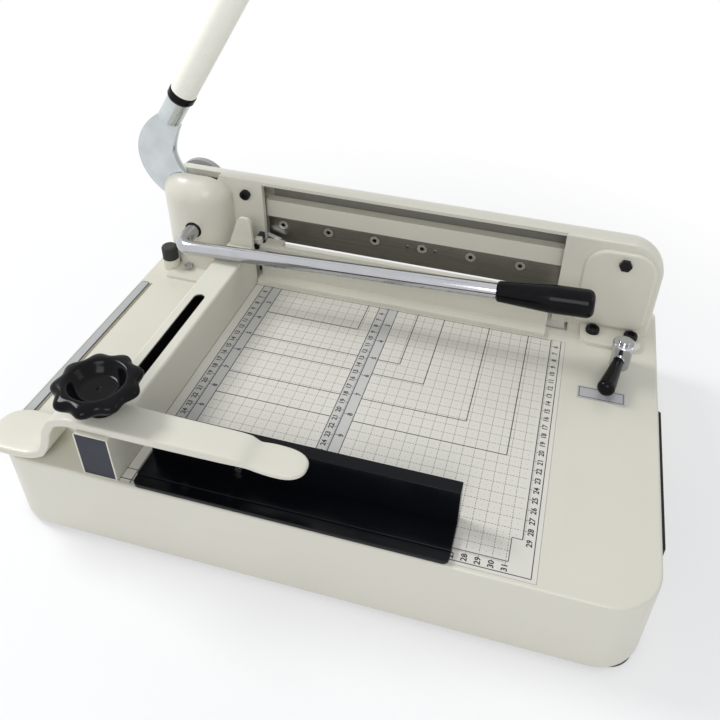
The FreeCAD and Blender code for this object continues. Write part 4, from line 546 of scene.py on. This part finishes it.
corner_mesh = bmesh.new()
corner_points = [
    corner_mesh.verts.new(vertex.co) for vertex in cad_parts["right_side_frame"].data.vertices
    if all(low < place < high for low, place, high in zip(CORNER_LOW, vertex.co, CORNER_HIGH))
]
hull = bmesh.ops.convex_hull(corner_mesh, input=corner_points)
spare = {
    piece for piece in hull["geom_interior"] + hull["geom_unused"]
    if isinstance(piece, bmesh.types.BMVert)
}
bmesh.ops.delete(corner_mesh, geom=list(spare), context="VERTS")
bmesh.ops.remove_doubles(corner_mesh, verts=corner_mesh.verts, dist=0.01 * MM)
bmesh.ops.recalc_face_normals(corner_mesh, faces=corner_mesh.faces)
middle = sum((vertex.co for vertex in corner_mesh.verts), Vector()) / len(corner_mesh.verts)
bmesh.ops.scale(
    corner_mesh, verts=corner_mesh.verts, vec=(CAP_SHRINK, CAP_SHRINK, CAP_SHRINK),
    space=Matrix.Translation(-middle),
)
bmesh.ops.bisect_plane(
    corner_mesh, geom=corner_mesh.verts[:] + corner_mesh.edges[:] + corner_mesh.faces[:],
    dist=0.001 * MM, plane_co=CAP_INSIDE, plane_no=CAP_OUTWARD, clear_inner=True,
)
bmesh.ops.holes_fill(
    corner_mesh, edges=[edge for edge in corner_mesh.edges if edge.is_boundary], sides=0,
)
bmesh.ops.recalc_face_normals(corner_mesh, faces=corner_mesh.faces)
frame_corner = new_piece("right_frame_corner", corner_mesh, frame_enamel)
smooth(frame_corner, crease=40.0)
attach(frame_corner, "base")

# Bolts of the frames
# Black socket-head and hexagon bolts; the oiled black finish is rubbed bright in random patches.
# The bush of the clamp's shaft has the same finish.
black_oxide = Finish("black_oxide", (0.009, 0.009, 0.009), 0.33, specular=0.16)
worn = black_oxide.noise(700.0, 3.0).from_range(0.6, 0.75, 0.0, 1.0)
black_oxide.feed("Base Color", black_oxide.tint(worn * 0.4, (0.05, 0.05, 0.05)))
black_oxide.feed("Roughness", worn * 0.15 + 0.28)
black_oxide.bump(black_oxide.noise(1300.0, 2.0), 0.12, 0.2 * MM)
black_oxide.on("right_foot_bolts", "left_panel_bolt", "right_panel_bolt", "clamp_shaft_bush")

# Knife carriage, guide pins and crank pin
# The enamelled bar that the knife is screwed to slides on two oiled steel pins pressed into the
# frames, and the lever's crank pin drives it. The lever's pivot is of the same steel.
frame_enamel.on("knife_carriage")


def milled(name, colour, dark, roughness, stretch):
    """Machined steel: cutter marks in one direction under a film of oil."""
    made = Finish(name, colour, roughness, metallic=1.0)
    marks = made.noise(1.0, 4.0, place=made.stretched(stretch))
    stain = made.noise(26.0, 4.0).from_range(0.5, 0.75, 0.0, 1.0)
    streaked = made.tint(marks.from_range(0.35, 0.65, 0.0, 0.6), dark)
    made.feed("Base Color", made.tint(stain * 0.35, [c * 0.6 for c in dark], streaked))
    made.feed("Roughness", marks.from_range(0.3, 0.7, roughness - 0.07, roughness + 0.09))
    made.bump(marks, 0.10, 0.2 * MM)
    return made


pin_steel = milled(
    "pin_steel", (0.36, 0.35, 0.33), (0.22, 0.21, 0.20), 0.36, stretch=(18.0, 300.0, 1300.0),
)
pin_steel.on("carriage_guide_pins", "crank_pin", "lever_crank", "pivot_shaft", "pivot_nut")

# Knife and its screws
# A long ground blade, dull from the grinding stone, held by a row of socket screws sunk in its
# face. Behind their heads' faces, sockets included, the screws are painted near-black as shade.
blade_steel = milled(
    "blade_steel", (0.30, 0.295, 0.27), (0.20, 0.195, 0.18), 0.40, stretch=(9.0, 400.0, 900.0),
)
blade_steel.on("knife")
screw_steel = milled(
    "screw_steel", (0.55, 0.55, 0.54), (0.35, 0.35, 0.34), 0.28, stretch=(700.0, 700.0, 700.0),
)
screw_steel.on("fence_screws", "slide_nut", "clamp_crank", "clamp_crank_pin")
bright_screw = Finish("bright_screw", (0.80, 0.80, 0.79), 0.25, metallic=1.0)
head_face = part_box("knife_screws")[0].y
SUNK = 0.5 * MM
# Painted shade: everything deeper than half a millimetre behind the heads' faces is coloured
# near-black.
socket = bright_screw.axis("y").above(head_face + SUNK)
lathe_marks = bright_screw.tint(bright_screw.noise(1500.0, 2.0) * 0.3, (0.6, 0.6, 0.6))
bright_screw.feed("Base Color", bright_screw.tint(socket, (0.02, 0.02, 0.02), lathe_marks))
bright_screw.feed("Roughness", bright_screw.noise(600.0, 2.0).from_range(0.3, 0.7, 0.2, 0.32))
bright_screw.on("knife_screws", "fence_face_screw")

# Pivot disc
# The mid-grey cap behind the left frame that covers the lever's bearing, sprayed with the same
# kind of enamel as the castings.
grey_enamel = enamel(
    "grey_enamel", (0.34, 0.35, 0.35), (0.28, 0.29, 0.29), roughness=0.38, ripple=0.12,
)
grey_enamel.on("pivot_disc")

# Main lever: forging, tube and grip
# A forged leaf with rolled edges and a round neck, zinc plated so that it clouds and spangles,
# with its side walls painted darker as shade; a steel tube in cream enamel, painted lighter than
# the castings' cream for the light it catches, is pressed over its spigot, with a rubber grip at
# the far end.
LEAF_MIDDLE, LEAF_TOP = spot(0.0, -16.0, 0.0).y, spot(0.0, 0.0, 158.0).z
LEAF_FACE_NEAR, LEAF_FACE_FAR = 4.0 * MM, 5.2 * MM
LEAF_FLAT, LEAF_SHARP, LEAF_ROLL = math.radians(0.6), math.radians(50.0), 1.8
RIM_FROM, RIM_TO = 2.2 * MM, 3.2 * MM
zinc = Finish("zinc_plate", (0.55, 0.59, 0.60), 0.24, metallic=0.9)
spangle = zinc.noise(34.0)
plated = zinc.tint(spangle.from_range(0.38, 0.62, 0.0, 1.0), (0.64, 0.68, 0.685))
from_middle = (zinc.axis("y") - LEAF_MIDDLE).maths("ABSOLUTE")
# Painted shade: the leaf's side walls, between its two faces, are coloured darker.
painted_side_shade = from_middle.from_range(RIM_FROM, RIM_TO, 1.0, 0.0) * zinc.axis("z").below(LEAF_TOP)
zinc.feed("Base Color", zinc.tint(painted_side_shade * 0.7, (0.26, 0.28, 0.29), plated))
zinc.feed("Roughness", spangle.from_range(0.35, 0.7, 0.2, 0.3) - painted_side_shade * 0.08)
zinc.bump(zinc.noise(180.0, 3.0), 0.04, 0.3 * MM)
forged = bmesh.new()
forged.from_mesh(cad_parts["lever_forging"].data)
bmesh.ops.remove_doubles(forged, verts=forged.verts, dist=0.005 * MM)
bmesh.ops.dissolve_limit(
    forged, angle_limit=LEAF_FLAT, verts=forged.verts, edges=forged.edges,
)
leaf_edges = [
    edge for edge in forged.edges
    if len(edge.link_faces) == 2 and edge.calc_face_angle() > LEAF_SHARP
    and all(
        LEAF_FACE_NEAR < abs(vertex.co.y - LEAF_MIDDLE) < LEAF_FACE_FAR for vertex in edge.verts
    )
]
round_off(forged, leaf_edges, LEAF_ROLL, 3)
forging = new_piece("forged_leaf_and_neck", forged, zinc)
smooth(forging, crease=38.0)
forging.modifiers.new("flat_faces", "WEIGHTED_NORMAL").keep_sharp = True
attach(forging, "main_lever")
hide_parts("lever_forging")
# Painted light: a lighter copy of the cream enamel, for the light that falls on the tube.
lit_tube_enamel = enamel(
    "lit_tube_enamel", (0.90, 0.885, 0.80), (0.87, 0.855, 0.77), roughness=0.30, ripple=0.06,
)
lit_tube_enamel.on("lever_tube")
grip_rubber = moulded("grip_rubber", (0.016, 0.016, 0.017), 0.55, grain=0.3)
grip_rubber.on("lever_grip")

# Clamp lever and lock lever
# Chrome-plated round bars and screws with glossy black plastic grips; the clamp's bar is bent at
# a right angle, and its short end turns in the left frame. The main lever's ring is as glossy.
chrome = Finish("chrome", (0.50, 0.51, 0.535), 0.10, metallic=1.0)
smear = chrome.noise(28.0, 5.0, 0.6)
fine = chrome.noise(1.0, 3.0, place=chrome.stretched((60.0, 900.0, 900.0)))
chrome.feed("Base Color", chrome.tint(smear.from_range(0.5, 0.72, 0.0, 0.35), (0.36, 0.37, 0.39)))
chrome.feed("Roughness", smear.from_range(0.35, 0.7, 0.07, 0.16))
chrome.bump(fine, 0.03, 0.2 * MM)
chrome.on("clamp_rod", "lock_lever_hub", "lock_screw", "shoe_screw", "knob_stud", "left_foot_bolt")
gloss_black = moulded(
    "gloss_black", (0.003, 0.003, 0.004), 0.11, grain=0.03, coat=0.05, specular=0.09,
)
gloss_black.on("clamp_grip", "lock_lever_handle", "lever_ring")

# Clamp plate, guide shoe and posts
# An enamelled angle that presses the paper down in front of the knife, guided by two posts in
# bronze bushes and by a small black shoe against the left panel.
frame_enamel.on("clamp_plate")
pin_steel.on("clamp_posts")
plug_plastic.on("clamp_guide_shoe")
bronze = milled(
    "bush_bronze", (0.42, 0.30, 0.17), (0.28, 0.20, 0.11), 0.35, stretch=(500.0, 500.0, 90.0),
)
bronze.on("post_bushes")

# Gauge arm
# An iron casting under thick enamel: a round paw that slides on the left margin, a bent leg up to
# the rail, a flat arm over it and a thinner, lower finger at the right end. Each station of it is
# its middle (x, z), slope in degrees, thickness, front and rear, in the measures of spot.
PAW_AND_ARM = [
    ((-125.0, 5.2), 0.0, 6.4, -314.0, -298.0),
    ((-121.5, 5.2), 0.0, 7.2, -321.5, -288.0),
    ((-110.0, 5.3), 0.0, 7.4, -326.0, -281.5),
    ((-92.0, 5.5), 0.0, 7.6, -326.0, -280.5),
    ((-76.0, 6.2), 8.0, 7.8, -325.5, -283.0),
    ((-67.5, 10.0), 42.0, 8.0, -323.5, -286.0),
    ((-62.5, 20.0), 72.0, 8.2, -321.5, -288.5),
    ((-59.0, 34.0), 72.0, 8.4, -320.5, -290.0),
    ((-51.5, 46.5), 42.0, 8.6, -320.5, -290.5),
    ((-39.0, 51.6), 6.0, 8.7, -320.5, -290.5),
    ((-30.0, 51.65), 0.0, 8.7, -320.5, -290.5),
    ((0.0, 51.65), 0.0, 8.7, -320.5, -290.5),
    ((50.0, 51.65), 0.0, 8.7, -320.5, -291.8),
    ((98.0, 51.65), 0.0, 8.7, -320.0, -291.8),
    ((107.0, 51.2), -14.0, 8.2, -319.5, -292.5),
    ((114.5, 48.7), -18.0, 6.2, -318.5, -293.5),
    ((124.0, 47.6), -4.0, 5.4, -319.5, -291.0),
    ((142.0, 47.5), 0.0, 5.0, -320.5, -291.5),
    ((152.0, 47.5), 0.0, 5.0, -317.0, -295.5),
    ((156.5, 47.5), 0.0, 4.4, -311.0, -301.5),
]
LEAST_RUN, LEAST_RISE = 1.5 * MM, 9.0 * MM
ARM_ROUNDING = 2.0


def rounded(piece, levels):
    """Smooth shading and a subdivision surface for a modelled piece."""
    for polygon in piece.data.polygons:
        polygon.use_smooth = True
    surface = piece.modifiers.new("rounded", "SUBSURF")
    surface.levels = levels
    surface.render_levels = levels


arm_mesh = bmesh.new()
end_face = arm_mesh.faces.new([arm_mesh.verts.new((0.0, 0.0, 0.0)) for _ in range(4)])
for number, ((x, z), slope, thick, front, rear) in enumerate(PAW_AND_ARM):
    if number:
        grown = bmesh.ops.extrude_discrete_faces(arm_mesh, faces=[end_face])
        end_face = grown["faces"][0]
    tilt = math.radians(slope)
    half_x = -math.sin(tilt) * thick / 2
    half_z = math.cos(tilt) * thick / 2
    corners = [(front, -1.0), (rear, -1.0), (rear, 1.0), (front, 1.0)]
    for vertex, (y, side) in zip(end_face.verts, corners):
        vertex.co = spot(x + half_x * side, y, z + half_z * side)
bmesh.ops.holes_fill(
    arm_mesh, edges=[edge for edge in arm_mesh.edges if edge.is_boundary], sides=4,
)
bmesh.ops.recalc_face_normals(arm_mesh, faces=arm_mesh.faces)
long_edges = [
    edge for edge in arm_mesh.edges
    if abs(edge.verts[0].co.x - edge.verts[1].co.x) > LEAST_RUN or rise(edge) > LEAST_RISE
]
round_off(arm_mesh, long_edges, ARM_ROUNDING, 2)
arm = new_piece("gauge_arm_casting", arm_mesh, cream_enamel)
rounded(arm, 2)
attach(arm, "back_gauge")
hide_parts("gauge_arm")

# Star knob
# A moulded knob with nine wavy lobes round a deep bowl and a flared neck that stands on the arm;
# a small dimple marks the middle of the bowl.
KNOB_PROFILE = [
    (0.0, 18.6), (1.3, 18.7), (1.6, 19.7), (2.3, 19.9), (13.2, 19.9), (15.4, 20.5), (18.2, 23.4),
    (20.6, 27.2), (22.0, 29.1), (24.0, 29.7), (27.4, 29.3), (30.8, 28.0), (32.7, 25.7),
    (33.0, 23.0), (31.5, 20.5), (28.2, 19.4), (24.0, 18.4), (18.0, 15.2), (14.3, 10.5),
    (13.0, 5.0), (13.0, 0.7), (12.3, 0.0), (0.0, 0.0),
]
LOBES, STEPS_PER_LOBE = 9, 8
LOBE_ROOT, LOBE_REACH, LOBE_SWELL = 24.0, 8.0, 2.1
FIRST_LOBE = math.radians(1.2)
knob_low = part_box("star_knob")[0].z
stud_low, stud_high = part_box("knob_stud")
knob_axis = (stud_low + stud_high) / 2
knob_mesh = bmesh.new()
turned(knob_mesh, KNOB_PROFILE, Vector((0.0, 0.0, 0.0)), LOBES * STEPS_PER_LOBE)
for vertex in knob_mesh.verts:
    reach = math.hypot(vertex.co.x, vertex.co.y)
    share = min(max((reach / MM - LOBE_ROOT) / LOBE_REACH, 0.0), 1.0)
    if share:
        turn = math.atan2(vertex.co.y, vertex.co.x) - FIRST_LOBE
        swell = 1.0 + share * LOBE_SWELL * MM * math.cos(LOBES * turn) / reach
        vertex.co.x *= swell
        vertex.co.y *= swell
bmesh.ops.translate(knob_mesh, verts=knob_mesh.verts, vec=(knob_axis.x, knob_axis.y, knob_low))
knob = new_piece("star_knob_moulding", knob_mesh, gloss_black)
rounded(knob, 2)
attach(knob, "gauge_knob")
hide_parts("star_knob")

# Fence
# The black enamelled angle under the arm that squares the paper, with a lip along its front and
# a block that the arm's screws go into.
FENCE_LEFT, FENCE_RIGHT = 14.0, 270.0
FENCE_FRONT = -325.0
FENCE_PROFILE = [
    (-281.0, 0.5), (-281.0, 42.0), (-292.0, 42.0), (-292.0, 6.0), (-316.0, 6.0), (-316.0, 4.6),
    (FENCE_FRONT, 4.6), (FENCE_FRONT, 0.5),
]
FENCE_CORNER, FENCE_EDGE, FENCE_SHARP = 5.0, 0.6, math.radians(40.0)
BLOCK_LOW, BLOCK_HIGH = spot(30.0, -302.0, 30.0), spot(95.0, -291.5, 47.3)
black_enamel = Finish("black_enamel", (0.003, 0.0035, 0.005), 0.14, specular=0.15)
dust = black_enamel.noise(900.0, 2.0).above(0.72)
black_enamel.feed("Base Color", black_enamel.tint(dust * 0.2, (0.06, 0.06, 0.06)))
black_enamel.feed("Roughness", black_enamel.noise(30.0).from_range(0.3, 0.7, 0.12, 0.26))
black_enamel.bump(black_enamel.noise(160.0, 2.0), 0.05, 0.4 * MM)
fence_mesh = bmesh.new()
end = fence_mesh.faces.new([
    fence_mesh.verts.new(spot(FENCE_LEFT, y, z)) for y, z in FENCE_PROFILE
])
swept = bmesh.ops.extrude_face_region(fence_mesh, geom=[end])
far_end = [piece for piece in swept["geom"] if isinstance(piece, bmesh.types.BMVert)]
fence_length = (FENCE_RIGHT - FENCE_LEFT) * MM
bmesh.ops.translate(fence_mesh, verts=far_end, vec=(fence_length, 0.0, 0.0))
front_y = spot(0.0, FENCE_FRONT, 0.0).y + HAIR
front_corners = [
    edge for edge in fence_mesh.edges
    if all(vertex.co.y < front_y for vertex in edge.verts) and rise(edge) > UPRIGHT
]
round_off(fence_mesh, front_corners, FENCE_CORNER, 5)
add_block(fence_mesh, BLOCK_LOW, BLOCK_HIGH)
bmesh.ops.recalc_face_normals(fence_mesh, faces=fence_mesh.faces)
crisp = [
    edge for edge in fence_mesh.edges
    if edge.is_convex and edge.calc_face_angle(0.0) > FENCE_SHARP
]
round_off(fence_mesh, crisp, FENCE_EDGE, 2)
fence = new_piece("fence_angle", fence_mesh, black_enamel)
smooth(fence, crease=50.0)
fence.modifiers.new("flat_faces", "WEIGHTED_NORMAL").keep_sharp = True
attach(fence, "back_gauge")
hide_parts("fence_bar")

# Label plate
# A thin satin plate beside the lock lever, glued to the table and bare but for a printed border
# near its edges.
label_low, label_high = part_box("label_plate")
BORDER_OUTER, BORDER_INNER = 1.4 * MM, 2.3 * MM
label = Finish("label_face", (0.52, 0.52, 0.53), 0.38, metallic=0.25)


def inside_by(inset):
    """The part of the label that is further from its edges than an inset."""
    inside_x = label.axis("x").within(label_low.x + inset, label_high.x - inset)
    inside_y = label.axis("y").within(label_low.y + inset, label_high.y - inset)
    return inside_x * inside_y


border = inside_by(BORDER_OUTER) - inside_by(BORDER_INNER)
brushed = label.noise(1.0, 3.0, place=label.stretched((20.0, 1500.0, 200.0)))
face = label.tint(brushed.from_range(0.35, 0.65, 0.0, 0.5), (0.46, 0.46, 0.48))
label.feed("Base Color", label.tint(border * 0.85, (0.05, 0.05, 0.08), face))
label.on("label_plate")

# Carrying handles
# Two long matt plastic mouldings fixed to the side walls, with a coarse grain that the hand
# finds easy to hold.
handle_plastic = moulded("handle_plastic", (0.022, 0.022, 0.024), 0.5, grain=0.2)
handle_plastic.on("side_handle_left", "side_handle_right")

# Studio
# A plain white floor that keeps the object's soft shadow and fades to white round it, a bright
# surround and three large soft lamps.
FLOOR_SIZE = 6.0
FADE_FROM, FADE_TO, FADE_AT_OBJECT = 0.36, 0.66, 0.45
PAPER_WHITE = (1.0, 1.0, 1.0, 1.0)
SURROUND_LIGHT, SURROUND_STRENGTH = (0.93, 0.96, 1.0, 1.0), 0.50
LAMP_TARGET = Vector((0.0, 0.0, 0.1))


def in_view(tree):
    """1 where the surroundings show by themselves, in a gloss or through glass."""
    kinds = ("Is Camera Ray", "Is Glossy Ray", "Is Transmission Ray")
    return any_of([tree.node("ShaderNodeLightPath", {}, {}, kind) for kind in kinds])


floor_white = Finish("floor_white", (0.88, 0.88, 0.89), 0.6)
floor_cloud = floor_white.noise(3.0, 2.0) * 0.2
floor_white.feed("Base Color", floor_white.tint(floor_cloud, (0.85, 0.85, 0.86)))
paper_white = floor_white.node(
    "ShaderNodeEmission", {}, {"Color": PAPER_WHITE, "Strength": 1.0},
)
lit_floor = Flow(floor_white, floor_white.shader.outputs[0])
floor_x, floor_y = floor_white.axis("x"), floor_white.axis("y")
off_centre = (floor_x * floor_x + floor_y * floor_y).maths("SQRT")
faded = off_centre.from_range(FADE_FROM, FADE_TO, FADE_AT_OBJECT, 1.0)
seen_floor = floor_white.node(
    "ShaderNodeMixShader", {}, [in_view(floor_white) * faded, lit_floor, paper_white],
)
floor_white.plug(floor_white.nodes["Material Output"].inputs["Surface"], seen_floor)
floor_mesh = bmesh.new()
bmesh.ops.create_grid(floor_mesh, x_segments=1, y_segments=1, size=FLOOR_SIZE)
floor = new_piece("studio_floor", floor_mesh, floor_white)

world = bpy.data.worlds.new("studio_world")
bpy.context.scene.world = world
world.use_nodes = True
surround = Tree(world.node_tree)
lit = surround.nodes["Background"]
surround.plug(lit.inputs["Color"], SURROUND_LIGHT)
surround.plug(lit.inputs["Strength"], SURROUND_STRENGTH)
light = Flow(surround, lit.outputs[0])
white = surround.node("ShaderNodeBackground", {}, {"Color": PAPER_WHITE, "Strength": 1.0})
shown = surround.node("ShaderNodeMixShader", {}, [in_view(surround), light, white])
surround.plug(surround.nodes["World Output"].inputs["Surface"], shown)


def soft_lamp(name, place, size, power):
    """A square area lamp that faces the object."""
    data = bpy.data.lights.new(name, "AREA")
    data.shape = "SQUARE"
    data.size = size
    data.energy = power
    lamp = bpy.data.objects.new(name, data)
    lamp.location = place
    lamp.rotation_euler = (LAMP_TARGET - Vector(place)).to_track_quat("-Z", "Y").to_euler()
    bpy.context.scene.collection.objects.link(lamp)


soft_lamp("window_lamp", (-1.8, 0.3, 1.9), size=0.7, power=32.0)
soft_lamp("front_lamp", (0.3, -2.1, 1.8), size=1.2, power=22.0)
soft_lamp("right_lamp", (2.1, 0.4, 1.4), size=0.9, power=4.0)

# Camera
# Placed where the ruled sheet outlines on the table plate show that the photograph was taken,
# with the lens shifted as the photograph is framed.
CAMERA_TURN = [math.radians(angle) for angle in (55.0469, -2.0834, 14.3572)]
lens = bpy.data.cameras.new("photo_camera")
lens.sensor_width = 36.0
lens.lens = 37.515
lens.shift_x = -0.0617
lens.shift_y = -0.1436
lens.clip_start = 0.01
camera = bpy.data.objects.new("photo_camera", lens)
camera.location = spot(300.762, -646.930, 497.938)
camera.rotation_euler = Euler(CAMERA_TURN, "XYZ")
bpy.context.scene.collection.objects.link(camera)
bpy.context.scene.camera = camera
bpy.context.scene.view_settings.view_transform = "Standard"
